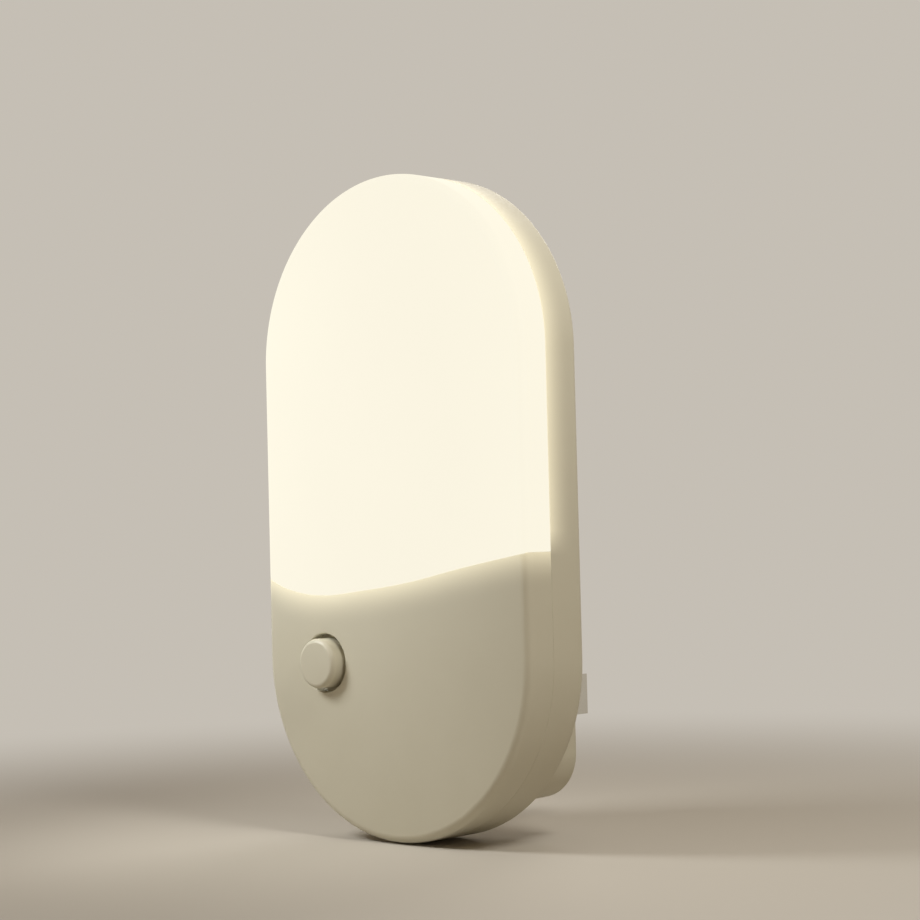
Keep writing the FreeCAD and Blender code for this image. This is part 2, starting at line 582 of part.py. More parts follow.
for side, sign in (("left", "-1"), ("right", "1")):
    post_x = f"{sign} * Sizes.post_x"
    rod(cover, f"screw_post_{side}", post_x, "-Sizes.post_drop", "Places.board_front", "Sizes.post_r",
        "Places.cover_inside + Sizes.face_wall / 2 - Places.board_front")
    rod(cover, f"screw_pilot_{side}", post_x, "-Sizes.post_drop", "Places.board_front",
        "Sizes.cover_shank_r", "Places.cover_inside - Places.board_front", cut=True)

# Diffuser: the milky upper front shell. Its wall is thicker by the tongue's clearance, so that the
# tongue passes behind the cover's edge.
diffuser = new_body("diffuser")
lens_outline = front_sketch(diffuser, "diffuser_outline", "Places.seam")
stadium(lens_outline, "0", "_outer")
pad(diffuser, "diffuser_slab", lens_outline, "Sizes.front_depth")
soften(diffuser, "diffuser_front_round", "Sizes.front_round", lambda edge: in_plane(edge, places.front))
soften(diffuser, "diffuser_seam", "Sizes.seam_chamfer", lambda edge: in_plane(edge, places.seam),
       kind="PartDesign::Chamfer")
lens_hollow = front_sketch(diffuser, "diffuser_hollow_outline", "Places.seam")
stadium(lens_hollow, "Sizes.skirt_wall", "_inner")
pocket(diffuser, "diffuser_hollow", lens_hollow, "Places.diffuser_inside - Places.seam", forward=True)
below_wave = front_sketch(diffuser, "below_wave", "Places.seam")
wave_region(below_wave, -size("wave_gap"), size("body_rise") - size("body_height"))
pocket(diffuser, "diffuser_wave", below_wave, "Sizes.front_depth", forward=True)


def level_line(x):
    """Upright line at x, long enough to cross the wave."""
    rise = size("body_rise")
    reach = size("body_height")
    return Part.LineSegment(FreeCAD.Vector(x, rise - reach, 0), FreeCAD.Vector(x, rise + reach, 0))


def tongue_outline(sketch):
    """Band that follows the wave, from behind the diffuser's edge to behind the cover."""
    reach = places.half_width - size("skirt_wall") - size("tongue_side")
    upper = wave_curve(-size("wave_gap") - size("tongue_reach"))
    lower = wave_curve(size("tongue_reach"))
    for curve in (upper, lower):
        ends = [curve.intersect(level_line(side * reach))[0] for side in (-1, 1)]
        curve.segment(*(curve.parameter(FreeCAD.Vector(end.X, end.Y, 0)) for end in ends))
    sketch.addGeometry(upper)
    sketch.addGeometry(Part.LineSegment(upper.EndPoint, lower.EndPoint))
    sketch.addGeometry(lower)
    sketch.addGeometry(Part.LineSegment(lower.StartPoint, upper.StartPoint))


tongue = front_sketch(diffuser, "tongue_outline", "Places.diffuser_inside")
tongue_outline(tongue)
pad(diffuser, "tongue", tongue, "Sizes.tongue_wall", rearward=True)
for side, sign in (("left", "-1"), ("right", "1")):
    for level in ("low", "high"):
        block(diffuser, f"snap_arm_{side}_{level}", f"{sign} * Places.snap_x", f"Places.snap_{level}",
              "Places.hook_forward", "Sizes.snap_wall", "Sizes.snap_width",
              "Places.diffuser_inside + Sizes.face_wall / 2 - Places.hook_forward")
        block(diffuser, f"snap_hook_{side}_{level}",
              f"{sign} * (Places.snap_x + Sizes.snap_wall / 2)",
              f"Places.snap_{level}", "Places.hook_forward", "2 * Sizes.snap_hook",
              "Sizes.snap_width", "Sizes.snap_hook")

# Push button: a cap with a stop flange behind the cover and a socket that sits on the switch stem.
button = new_body("push_button")
at_button = ("Sizes.button_x", "Sizes.button_z")
rod(button, "cap", *at_button, "Places.flange_front - Sizes.flange_wall / 2", "Sizes.button_cap_r",
    "Places.front + Sizes.button_proud - Places.flange_front + Sizes.flange_wall / 2")
soften(button, "cap_round", "Sizes.button_round",
       lambda edge: in_plane(edge, places.front + size("button_proud")))
rod(button, "flange", *at_button, "Places.flange_rear", "Places.flange_r", "Sizes.flange_wall")
rod(button, "stem_socket", *at_button, "Places.flange_rear", "Sizes.stem_r + Sizes.stem_seat",
    "Sizes.socket_depth", cut=True)

# Cover screws: from the plug face, through the rear housing and the board, into the cover's posts.
screws = new_body("cover_screws", several=True)
for side, sign in (("left", "-1"), ("right", "1")):
    cross_screw(screws, f"cover_screw_{side}", f"{sign} * Sizes.post_x", "-Sizes.post_drop",
                "Sizes.cover_recess", "Sizes.cover_head_r", "Sizes.cover_head_depth",
                "Sizes.cover_shank_r - Sizes.thread_play", "Sizes.cover_screw_length")

# Plug blades: flat brass strips with a hole near the tip, a shoulder inside the boss and a narrow
# tail that is soldered into the driver board.
for side, sign in (("left", "-1"), ("right", "1")):
    blade = new_body(f"plug_blade_{side}")
    blade_x = f"{sign} * Sizes.blade_spacing / 2"
    block(blade, f"strip_{side}", blade_x, "0", "-Sizes.blade_length", "Sizes.blade_thick",
          "Sizes.blade_width", "Sizes.blade_length + Sizes.end_wall + Sizes.shoulder_depth")
    soften(blade, f"tip_{side}", "Sizes.blade_tip", lambda edge: in_plane(edge, -size("blade_length")),
           kind="PartDesign::Chamfer")
    block(blade, f"shoulder_{side}", blade_x, "0", "Sizes.end_wall", "Sizes.blade_thick",
          "Sizes.shoulder_width", "Sizes.shoulder_depth")
    block(blade, f"tail_{side}", blade_x, "0", "Sizes.end_wall", "Sizes.tail_thick", "Sizes.tail_width",
          "Places.board_front + Sizes.tail_proud - Sizes.end_wall")
    hole = blade.newObject("PartDesign::SubtractiveCylinder", f"blade_hole_{side}")
    hole.Placement = FreeCAD.Placement(FreeCAD.Vector(), FreeCAD.Rotation(FreeCAD.Vector(0, 1, 0), 90))
    hole.setExpression("Radius", "Sizes.blade_hole_r")
    hole.setExpression("Height", "2 * Sizes.blade_thick")
    put(hole, f"{blade_x} - Sizes.blade_thick", "-Sizes.blade_hole_out", "0")

# Blade clamp: a plate over both shoulders, screwed to two posts inside the boss.
clamp = new_body("blade_clamp")
block(clamp, "clamp_plate", "0", "0", "Places.clamp_rear", "Sizes.clamp_width", "Sizes.clamp_height",
      "Sizes.clamp_wall")
soften(clamp, "clamp_corners", "Sizes.clamp_corner", across)
clamp_screws = new_body("clamp_screws", several=True)
for level, sign in (("low", "-1"), ("high", "1")):
    screw_z = f"{sign} * Sizes.clamp_screw_z"
    rod(clamp, f"clamp_hole_{level}", "0", screw_z, "Places.clamp_rear",
        "Sizes.small_shank_r + Sizes.screw_gap", "Sizes.clamp_wall", cut=True)
    cross_screw(clamp_screws, f"clamp_screw_{level}", "0", screw_z,
                "Places.clamp_rear + Sizes.clamp_wall", "Sizes.small_head_r", "Sizes.small_head_depth",
                "Sizes.small_shank_r - Sizes.thread_play",
                "Sizes.clamp_wall + Sizes.shoulder_depth + Sizes.end_wall / 3", forward=False)
for side, sign in (("left", "-1"), ("right", "1")):
    block(clamp, f"tail_slot_{side}", f"{sign} * Sizes.blade_spacing / 2", "0", "Places.clamp_rear",
          "Sizes.tail_thick + 2 * Sizes.slot_gap", "Sizes.tail_width + 2 * Sizes.slot_gap",
          "Sizes.clamp_wall", cut=True)

# Driver board: glass fibre board flat on the shell floor, between the two pairs of posts.
board = new_body("driver_board")
block(board, "board_plate", "0", "(Sizes.board_top - Sizes.board_bottom) / 2", "Places.shell_floor",
      "Sizes.board_width", "Sizes.board_top + Sizes.board_bottom", "Sizes.board_wall")
board_middle = (size("board_top") - size("board_bottom")) / 2
soften(board, "board_low_corners", "Sizes.board_corner",
       lambda edge: corner_at(1, -1, board_middle)(edge) or corner_at(-1, -1, board_middle)(edge))
soften(board, "board_high_corners", "Sizes.board_top_corner",
       lambda edge: corner_at(1, 1, board_middle)(edge) or corner_at(-1, 1, board_middle)(edge))


def drill(name, x, z, radius):
    rod(board, name, x, z, "Places.shell_floor", radius, "Sizes.board_wall", cut=True)


for side, sign in (("left", "-1"), ("right", "1")):
    drill(f"board_cover_hole_{side}", f"{sign} * Sizes.post_x", "-Sizes.post_drop",
          "Sizes.cover_shank_r + Sizes.screw_gap")
    block(board, f"board_tail_slot_{side}", f"{sign} * Sizes.blade_spacing / 2", "0",
          "Places.shell_floor", "Sizes.tail_thick + 2 * Sizes.slot_gap",
          "Sizes.tail_width + 2 * Sizes.slot_gap", "Sizes.board_wall", cut=True)
drill("board_screw_hole", "Sizes.board_screw_x", "Sizes.board_screw_z",
      "Sizes.small_shank_r + Sizes.screw_gap")
board_screw = new_body("board_screw")
cross_screw(board_screw, "board_screw", "Sizes.board_screw_x", "Sizes.board_screw_z",
            "Places.board_front", "Sizes.small_head_r", "Sizes.small_head_depth",
            "Sizes.small_shank_r - Sizes.thread_play", "Sizes.small_screw_length", forward=False)

# Solder: a small cone round each blade tail in front of the board.
solder = new_body("blade_solder", several=True)
for side, sign in (("left", "-1"), ("right", "1")):
    solder_x = f"{sign} * Sizes.blade_spacing / 2"
    cone(solder, f"solder_{side}", solder_x, "0", "Places.board_front", "Sizes.solder_r",
         "Sizes.solder_top_r", "Sizes.solder_rise")
    block(solder, f"solder_slot_{side}", solder_x, "0", "Places.board_front", "Sizes.tail_thick",
          "Sizes.tail_width", "Sizes.tail_proud", cut=True)


def leaded_hole(name, x, z):
    drill(name, x, z, "Sizes.lead_r + Sizes.lead_gap")


# Film capacitor: a moulded box behind the board, in the boss, with two leads through the board.
film = new_body("film_capacitor")
block(film, "film_case", "Sizes.film_x", "Sizes.film_z", "Places.shell_floor - Sizes.film_depth",
      "Sizes.film_width", "Sizes.film_height", "Sizes.film_depth")
soften(film, "film_edges", "Sizes.film_round", across)
for level, sign in (("low", "-1"), ("high", "1")):
    lead_z = f"Sizes.film_z + {sign} * Sizes.film_pitch / 2"
    leaded_hole(f"film_hole_{level}", "Sizes.film_x", lead_z)
    rod(film, f"film_lead_{level}", "Sizes.film_x", lead_z, "Places.shell_floor - Sizes.lead_reach",
        "Sizes.lead_r", "2 * Sizes.lead_reach + Sizes.board_wall")

# Electrolytic capacitor: a can with a sleeve that lies on the board, its two leads bent into it.
can = new_body("electrolytic_capacitor")


def lying_rod(body, name, x, z, forward, radius, length):
    """Cylinder along X whose axis lies the given distance forward; x is its left end."""
    shape = body.newObject("PartDesign::AdditiveCylinder", name)
    shape.Placement = FreeCAD.Placement(FreeCAD.Vector(), FreeCAD.Rotation(FreeCAD.Vector(0, 1, 0), 90))
    shape.setExpression("Radius", radius)
    shape.setExpression("Height", length)
    put(shape, x, forward, z)


can_forward = "Places.board_front + Sizes.can_r"
lying_rod(can, "can_case", "Sizes.can_x", "Sizes.can_z", can_forward, "Sizes.can_r", "Sizes.can_length")
soften(can, "can_rims", "Sizes.can_round", lambda edge: edge.Curve.TypeId == "Part::GeomCircle")
for level, sign in (("low", "-1"), ("high", "1")):
    lead_z = f"Sizes.can_z + {sign} * Sizes.can_pitch / 2"
    lead_x = "Sizes.can_x - Sizes.lead_reach"
    leaded_hole(f"can_hole_{level}", lead_x, lead_z)
    lying_rod(can, f"can_lead_{level}", lead_x, lead_z, can_forward, "Sizes.lead_r * Sizes.lead_neck",
              "2 * Sizes.lead_reach")
    rod(can, f"can_leg_{level}", lead_x, lead_z, "Places.shell_floor - Sizes.lead_reach", "Sizes.lead_r",
        "Sizes.lead_reach + Sizes.board_wall + Sizes.can_r + Sizes.lead_r")

# Fuse resistor: a small lacquered cylinder in front of the board, on two bent leads.
fuse = new_body("fuse_resistor")
fuse_forward = "Places.board_front + Sizes.fuse_r + Sizes.fuse_lift"
lying_rod(fuse, "fuse_case", "Sizes.fuse_x - Sizes.fuse_length / 2", "Sizes.fuse_z", fuse_forward,
          "Sizes.fuse_r", "Sizes.fuse_length")
soften(fuse, "fuse_rims", "Sizes.can_round", lambda edge: edge.Curve.TypeId == "Part::GeomCircle")
lying_rod(fuse, "fuse_lead", "Sizes.fuse_x - Sizes.fuse_pitch / 2", "Sizes.fuse_z", fuse_forward,
          "Sizes.lead_r * Sizes.lead_neck", "Sizes.fuse_pitch")
for side, sign in (("left", "-1"), ("right", "1")):
    leg_x = f"Sizes.fuse_x + {sign} * Sizes.fuse_pitch / 2"
    leaded_hole(f"fuse_hole_{side}", leg_x, "Sizes.fuse_z")
    rod(fuse, f"fuse_leg_{side}", leg_x, "Sizes.fuse_z", "Places.shell_floor", "Sizes.lead_r",
        f"{fuse_forward} + Sizes.lead_r - Places.shell_floor")


def chip(name, x, z, width, height, legs):
    """Moulded chip on the board with flat legs above and below it."""
    body = new_body(name)
    block(body, f"{name}_case", x, z, "Places.board_front + Sizes.leg_wall", width, height, "Sizes.chip_depth")
    for index in range(legs):
        leg_x = f"{x} + ({index} - {(legs - 1) / 2}) * Sizes.leg_pitch"
        block(body, f"{name}_leg_{index}", leg_x, z, "Places.board_front", "Sizes.leg_width",
              f"{height} + 2 * Sizes.leg_reach", "2 * Sizes.leg_wall")


# Bridge rectifier and driver chip: moulded black packages on flat legs.
chip("bridge_rectifier", "Sizes.bridge_x", "Sizes.bridge_z", "Sizes.bridge_width", "Sizes.bridge_height", 2)
chip("driver_chip", "Sizes.driver_x", "Sizes.driver_z", "Sizes.driver_width", "Sizes.driver_height", 4)

# Chip resistors: a short row of ceramic blocks beside the driver chip.
resistors = new_body("chip_resistors", several=True)
for index in range(4):
    block(resistors, f"resistor_{index}", f"Sizes.resistor_x + {index} * Sizes.resistor_pitch",
          "Sizes.resistor_z", "Places.board_front", "Sizes.resistor_width", "Sizes.resistor_height",
          "Sizes.resistor_depth")

# Switch: a moulded box with a sheet cover; inside it a plunger with a square plate, a coil spring
# and a contact bridge that meets two of the four terminals when the button is pressed.
switch_body = new_body("switch_body")
block(switch_body, "switch_case", *at_button, "Places.board_front", "Sizes.switch_width",
      "Sizes.switch_width", "Places.lid_rear - Places.board_front")
block(switch_body, "switch_room", *at_button, "Places.switch_inside",
      "Sizes.switch_width - 2 * Sizes.switch_wall", "Sizes.switch_width - 2 * Sizes.switch_wall",
      "Places.lid_rear - Places.switch_inside", cut=True)
lid = new_body("switch_cover")
block(lid, "lid_sheet", *at_button, "Places.lid_rear", "Sizes.switch_width + 2 * Sizes.lid_tab_wall",
      "Sizes.switch_width", "Sizes.switch_lid")
rod(lid, "lid_hole", *at_button, "Places.lid_rear", "Sizes.stem_r + Sizes.stem_gap", "Sizes.switch_lid",
    cut=True)
terminals = new_body("switch_terminals", several=True)
for side, sign in (("left", "-1"), ("right", "1")):
    block(lid, f"lid_tab_{side}",
          f"Sizes.button_x + {sign} * (Sizes.switch_width + Sizes.lid_tab_wall) / 2", "Sizes.button_z",
          "Places.lid_rear - Sizes.lid_tab_drop", "Sizes.lid_tab_wall", "Sizes.lid_tab_width",
          "Sizes.lid_tab_drop + Sizes.switch_lid")
    for level, rise in (("low", "-1"), ("high", "1")):
        spot = (f"Sizes.button_x + {sign} * Sizes.terminal_x", f"Sizes.button_z + {rise} * Sizes.terminal_z")
        tag = f"{side}_{level}"
        block(terminals, f"pad_{tag}", *spot, "Places.switch_inside", "Sizes.terminal_pad",
              "Sizes.terminal_pad", "Sizes.terminal_pad_depth")
        block(terminals, f"pin_{tag}", *spot, "Places.shell_floor - Sizes.terminal_reach",
              "Sizes.terminal_pin", "Sizes.terminal_pin",
              "Places.switch_inside - Places.shell_floor + Sizes.terminal_reach")
        block(switch_body, f"floor_hole_{tag}", *spot, "Places.board_front",
              "Sizes.terminal_pin + 2 * Sizes.terminal_gap", "Sizes.terminal_pin + 2 * Sizes.terminal_gap",
              "Sizes.switch_floor", cut=True)
        drill(f"terminal_hole_{tag}", *spot, "Sizes.terminal_pin / sqrt(2) + Sizes.lead_gap")
plunger = new_body("switch_plunger")
block(plunger, "plunger_plate", *at_button, "Places.plate_rear", "Sizes.plate_width", "Sizes.plate_width",
      "Sizes.plate_depth")
rod(plunger, "plunger_stem", *at_button, "Places.plate_rear", "Sizes.stem_r",
    "Places.flange_rear + Sizes.socket_depth - Places.plate_rear")
rod(plunger, "plunger_peg", *at_button, "Places.plate_rear - Sizes.peg_length", "Sizes.peg_r",
    "Sizes.peg_length + Sizes.plate_depth / 2")
wiper = new_body("switch_wiper")
wiper_z = "Sizes.button_z + Sizes.terminal_z"
block(wiper, "bridge", "Sizes.button_x", wiper_z, "Places.plate_rear - Sizes.wiper_wall",
      "Sizes.wiper_span", "Sizes.wiper_width", "Sizes.wiper_wall")
for side, sign in (("left", "-1"), ("right", "1")):
    block(wiper, f"wiper_leg_{side}",
          f"Sizes.button_x + {sign} * (Sizes.wiper_span - Sizes.wiper_wall) / 2", wiper_z,
          "Places.plate_rear - Sizes.wiper_wall - Sizes.wiper_leg", "Sizes.wiper_wall",
          "Sizes.wiper_width", "Sizes.wiper_leg + Sizes.wiper_wall")

# Switch spring: one open coil between the floor of the switch and the plunger plate.
spring_start = places.switch_inside + size("spring_seat") + size("spring_wire_r")
spring_end = places.plate_rear - size("spring_seat") - size("spring_wire_r")
spring_height = spring_end - spring_start
helix = Part.makeHelix(spring_height / size("spring_turns"), spring_height, size("spring_mean_r"))
section = Part.Wire(Part.makeCircle(size("spring_wire_r"), FreeCAD.Vector(size("spring_mean_r"), 0, 0),
                                    FreeCAD.Vector(0, 1, 0)))
spring = document.addObject("Part::Feature", "switch_spring")
spring.Label = "switch_spring"
spring.Shape = Part.Wire(helix).makePipeShell([section], True, True)
spring.Placement = FreeCAD.Placement(
    FreeCAD.Vector(size("button_x"), -spring_start, size("button_z")),
    FreeCAD.Rotation(FreeCAD.Vector(1, 0, 0), 90))

# Lamp board: on four posts behind the diffuser, with twelve lamps in three columns.
lamp_board = new_body("led_board")
block(lamp_board, "lamp_plate", "0", "(Sizes.lamp_board_top + Sizes.lamp_board_bottom) / 2",
      "Places.lamp_board_rear", "Sizes.lamp_board_width", "Sizes.lamp_board_top - Sizes.lamp_board_bottom",
      "Sizes.lamp_board_wall")
lamp_middle = (size("lamp_board_top") + size("lamp_board_bottom")) / 2
soften(lamp_board, "lamp_board_corners", "Sizes.lamp_board_corner",
       lambda edge: corner_at(1, 1, lamp_middle)(edge) or corner_at(-1, 1, lamp_middle)(edge))
lamp_screws = new_body("led_board_screws", several=True)
for side, sign in (("left", "-1"), ("right", "1")):
    for level in ("low", "high"):
        spot = (f"{sign} * Sizes.lamp_post_x", f"Sizes.lamp_post_{level}")
        rod(lamp_board, f"lamp_hole_{side}_{level}", *spot, "Places.lamp_board_rear",
            "Sizes.small_shank_r + Sizes.screw_gap", "Sizes.lamp_board_wall", cut=True)
        cross_screw(lamp_screws, f"lamp_screw_{side}_{level}", *spot, "Places.lamp_board_front",
                    "Sizes.small_head_r", "Sizes.small_head_depth",
                    "Sizes.small_shank_r - Sizes.thread_play",
                    "Sizes.lamp_board_wall + Sizes.lamp_post_rise + Sizes.floor_wall / 4", forward=False)
packages = new_body("led_packages", several=True)
phosphors = new_body("led_phosphors", several=True)
for column in (-1, 0, 1):
    for level in range(4):
        spot = (f"{column} * Sizes.lamp_pitch_x", f"Sizes.lamp_first_z + {level} * Sizes.lamp_pitch_z")
        tag = f"{column + 1}_{level}"
        block(packages, f"lamp_{tag}", *spot, "Places.lamp_board_front", "Sizes.lamp_width",
              "Sizes.lamp_height", "Sizes.lamp_depth")
        cup = ("Places.lamp_board_front + Sizes.lamp_depth - Sizes.phosphor_depth",
               "Sizes.lamp_width - 2 * Sizes.lamp_wall", "Sizes.lamp_height - 2 * Sizes.lamp_wall",
               "Sizes.phosphor_depth")
        block(packages, f"lamp_cup_{tag}", *spot, *cup, cut=True)
        block(phosphors, f"phosphor_{tag}", *spot, *cup)


def lamp_wire(name, x):
    """Insulated lead: up from one board, along the middle, and down on the other."""
    radius = size("wire_bend_r")
    lift = places.board_front + size("wire_lift")
    low = FreeCAD.Vector(x, -places.board_front, size("wire_start_z"))
    high = FreeCAD.Vector(x, -places.lamp_board_front, size("wire_end_z"))
    turn_in = FreeCAD.Vector(x, -lift, low.z)
    turn_out = FreeCAD.Vector(x, -lift, high.z)
    slant = radius * (1 - 0.5 ** 0.5)
    along = FreeCAD.Vector(0, 0, radius)
    inward = FreeCAD.Vector(0, radius, 0)
    first_middle = turn_in + FreeCAD.Vector(0, slant, slant)
    last_middle = turn_out + FreeCAD.Vector(0, slant, -slant)
    path = Part.Wire([
        Part.LineSegment(low, turn_in + inward).toShape(),
        Part.Arc(turn_in + inward, first_middle, turn_in + along).toShape(),
        Part.LineSegment(turn_in + along, turn_out - along).toShape(),
        Part.Arc(turn_out - along, last_middle, turn_out + inward).toShape(),
        Part.LineSegment(turn_out + inward, high).toShape()])
    circle = Part.Wire(Part.makeCircle(size("wire_r"), low, FreeCAD.Vector(0, 1, 0)))
    wire = document.addObject("Part::Feature", name)
    wire.Label = name
    wire.Shape = path.makePipeShell([circle], True, False)
    print(name, "length", round(path.Length, 2), "bend radius", radius)


# Lamp wires: two short insulated leads from the driver board to the lamp board.
lamp_wire("led_wire_red", size("wire_x"))
lamp_wire("led_wire_black", -size("wire_x"))

document.recompute()
os.makedirs("parts", exist_ok=True)
pieces = [item for item in document.Objects if item.TypeId in ("PartDesign::Body", "Part::Feature")]
for item in document.Objects:
    if "Invalid" in item.State or "Error" in item.State:
        raise RuntimeError(f"{item.Label} could not be built: {item.State}")
for piece in pieces:
    if piece.Shape.isNull() or not piece.Shape.isValid():
        raise RuntimeError(f"{piece.Label} has no valid shape")
for piece in pieces:
    piece.Shape.exportStep(f"parts/{piece.Label}.step")
    print(piece.Label, len(piece.Shape.Solids), round(piece.Shape.Volume, 3))
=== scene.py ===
import math

import bmesh
import bpy
from mathutils import Matrix, Quaternion, Vector


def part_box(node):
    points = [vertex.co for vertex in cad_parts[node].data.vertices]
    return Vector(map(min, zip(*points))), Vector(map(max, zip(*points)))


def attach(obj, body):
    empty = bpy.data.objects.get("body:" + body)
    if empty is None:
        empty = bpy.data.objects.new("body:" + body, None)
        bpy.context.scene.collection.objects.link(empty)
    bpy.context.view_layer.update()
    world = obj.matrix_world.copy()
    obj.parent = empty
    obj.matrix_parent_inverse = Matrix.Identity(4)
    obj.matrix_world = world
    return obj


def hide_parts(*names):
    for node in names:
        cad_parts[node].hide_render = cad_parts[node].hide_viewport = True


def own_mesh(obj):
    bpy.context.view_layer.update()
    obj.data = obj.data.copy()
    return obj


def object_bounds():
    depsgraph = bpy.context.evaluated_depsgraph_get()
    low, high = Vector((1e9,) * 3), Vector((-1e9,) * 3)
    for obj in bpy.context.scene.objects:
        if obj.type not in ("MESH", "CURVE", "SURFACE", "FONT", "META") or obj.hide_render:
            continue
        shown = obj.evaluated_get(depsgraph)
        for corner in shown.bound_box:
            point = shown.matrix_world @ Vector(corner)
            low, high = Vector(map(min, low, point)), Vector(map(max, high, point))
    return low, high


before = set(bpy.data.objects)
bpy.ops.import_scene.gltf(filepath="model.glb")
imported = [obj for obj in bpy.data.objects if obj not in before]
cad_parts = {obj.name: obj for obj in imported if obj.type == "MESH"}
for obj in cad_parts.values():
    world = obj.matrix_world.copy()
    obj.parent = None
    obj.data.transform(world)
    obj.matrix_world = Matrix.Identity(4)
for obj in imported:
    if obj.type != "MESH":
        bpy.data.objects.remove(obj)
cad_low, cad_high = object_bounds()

MM = 0.001
scene = bpy.context.scene

# Camera: to the light's right and a little below its middle, as the photograph was taken.
# Its place and lens fit the light's outline, and the roll is the photograph's slight tilt.
CAMERA_PLACE = Vector((235.59, -254.88, 25.11)) * MM
CAMERA_LOOK = Vector((-0.68355, 0.72906, 0.03510))
CAMERA_ROLL = math.radians(-1.435)
CAMERA_LENS = 87.14

camera_data = bpy.data.cameras.new("camera")
camera_data.lens = CAMERA_LENS
camera_data.clip_start = 0.01
camera = bpy.data.objects.new("camera", camera_data)
scene.collection.objects.link(camera)
camera.location = CAMERA_PLACE
camera.rotation_mode = "QUATERNION"
camera.rotation_quaternion = (
    CAMERA_LOOK.to_track_quat("-Z", "Y") @ Quaternion((0, 0, 1), CAMERA_ROLL))
scene.camera = camera
scene.view_settings.view_transform = "Standard"

# Studio: a plain pale floor just under the light, a small lamp close by on the left, others on the
# right and behind, and a pale surround that the camera and any gloss see but that lights softly.
KEY_PLACE = Vector((-74, -88, 88)) * MM
KEY_RAISE = 22 * MM
KEY_SPREAD = math.radians(85)
SIDE_PLACE = Vector((125, -40, 138)) * MM
BACK_PLACE = Vector((-300, 750, 550)) * MM
FLOOR_DROP = 0.2 * MM
FLOOR_REACH = 6000 * MM
FLOOR_NEAR = 30 * MM
FLOOR_FAR = 240 * MM
FLOOR_COLOUR = (0.56, 0.52, 0.46, 1)
SURROUND_COLOUR = (0.56, 0.52, 0.46, 1)
SURROUND_LIGHT = (0.215, 0.17, 0.115, 1)


def wire(tree, kind, *values, **settings):
    """New node with its settings, and each value set on or linked to its inputs in their order."""
    made = tree.nodes.new(kind)
    for key, value in settings.items():
        setattr(made, key, value)
    for socket, value in zip(made.inputs, values):
        if isinstance(value, bpy.types.NodeSocket):
            tree.links.new(value, socket)
        elif value is not None:
            socket.default_value = value
    return made


def looked_at(tree):
    """1 for a camera, glossy or transmitted ray, and 0 for the rays that only light."""
    path = wire(tree, "ShaderNodeLightPath")
    seen = wire(tree, "ShaderNodeMath", path.outputs["Is Camera Ray"], path.outputs["Is Glossy Ray"],
                operation="MAXIMUM")
    return wire(tree, "ShaderNodeMath", seen.outputs[0], path.outputs["Is Transmission Ray"],
                operation="MAXIMUM").outputs[0]


def mix_colours(tree, share, first, second):
    """Mixed colour; a Mix node's two colours come after its factors, numbers and vectors."""
    return wire(tree, "ShaderNodeMix", share, None, None, None, None, None, first, second,
                data_type="RGBA").outputs[2]


def add_lamp(name, place, aim, width, power, colour, spread=math.pi):
    data = bpy.data.lights.new(name, "AREA")
    data.shape = "DISK"
    data.size = width
    data.energy = power
    data.spread = spread
    data.color = colour
    lamp = bpy.data.objects.new(name, data)
    scene.collection.objects.link(lamp)
    lamp.location = place
    lamp.rotation_mode = "QUATERNION"
    lamp.rotation_quaternion = (aim - place).to_track_quat("-Z", "Y")


button_low, button_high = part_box("push_button")
button_middle = (button_low + button_high) / 2
add_lamp("key_lamp", KEY_PLACE, button_middle + Vector((0, 0, KEY_RAISE)), width=50 * MM, power=0.031,
         colour=(0.955, 0.985, 0.99), spread=KEY_SPREAD)
add_lamp("side_lamp", SIDE_PLACE, button_middle, width=60 * MM, power=0.132, colour=(1.0, 0.985, 0.93))
add_lamp("back_lamp", BACK_PLACE, button_middle, width=600 * MM, power=2.7, colour=(1.0, 0.97, 0.92))

floor_mesh = bpy.data.meshes.new("floor")
floor_bm = bmesh.new()
bmesh.ops.create_grid(floor_bm, x_segments=1, y_segments=1, size=FLOOR_REACH)
bmesh.ops.translate(floor_bm, vec=(0, 0, cad_low.z - FLOOR_DROP), verts=floor_bm.verts)
floor_bm.to_mesh(floor_mesh)
floor_bm.free()
floor = bpy.data.objects.new("floor", floor_mesh)
scene.collection.objects.link(floor)

floor_material = bpy.data.materials.new("pale_floor")
floor_material.use_nodes = True
tree = floor_material.node_tree
floor_shader = tree.nodes["Principled BSDF"]
floor_shader.inputs["Base Color"].default_value = FLOOR_COLOUR
floor_shader.inputs["Roughness"].default_value = 0.9
floor_shader.inputs["Specular IOR Level"].default_value = 0.1
floor_place = wire(tree, "ShaderNodeTexCoord").outputs["Object"]
floor_range = wire(tree, "ShaderNodeVectorMath", floor_place, operation="LENGTH").outputs["Value"]
floor_far = wire(tree, "ShaderNodeMapRange", floor_range, FLOOR_NEAR, FLOOR_FAR, 0.0, 1.0,
                 interpolation_type="SMOOTHSTEP").outputs["Result"]
floor_tone = mix_colours(tree, looked_at(tree), SURROUND_LIGHT, SURROUND_COLOUR)
floor_glow = wire(tree, "ShaderNodeEmission", floor_tone)
floor_mix = wire(tree, "ShaderNodeMixShader", floor_far, floor_shader.outputs[0], floor_glow.outputs[0])
tree.links.new(floor_mix.outputs[0], tree.nodes["Material Output"].inputs["Surface"])
floor.data.materials.append(floor_material)

world = bpy.data.worlds.new("surround")
scene.world = world
world.use_nodes = True
tree = world.node_tree
tree.links.new(mix_colours(tree, looked_at(tree), SURROUND_LIGHT, SURROUND_COLOUR),
               tree.nodes["Background"].inputs["Color"])

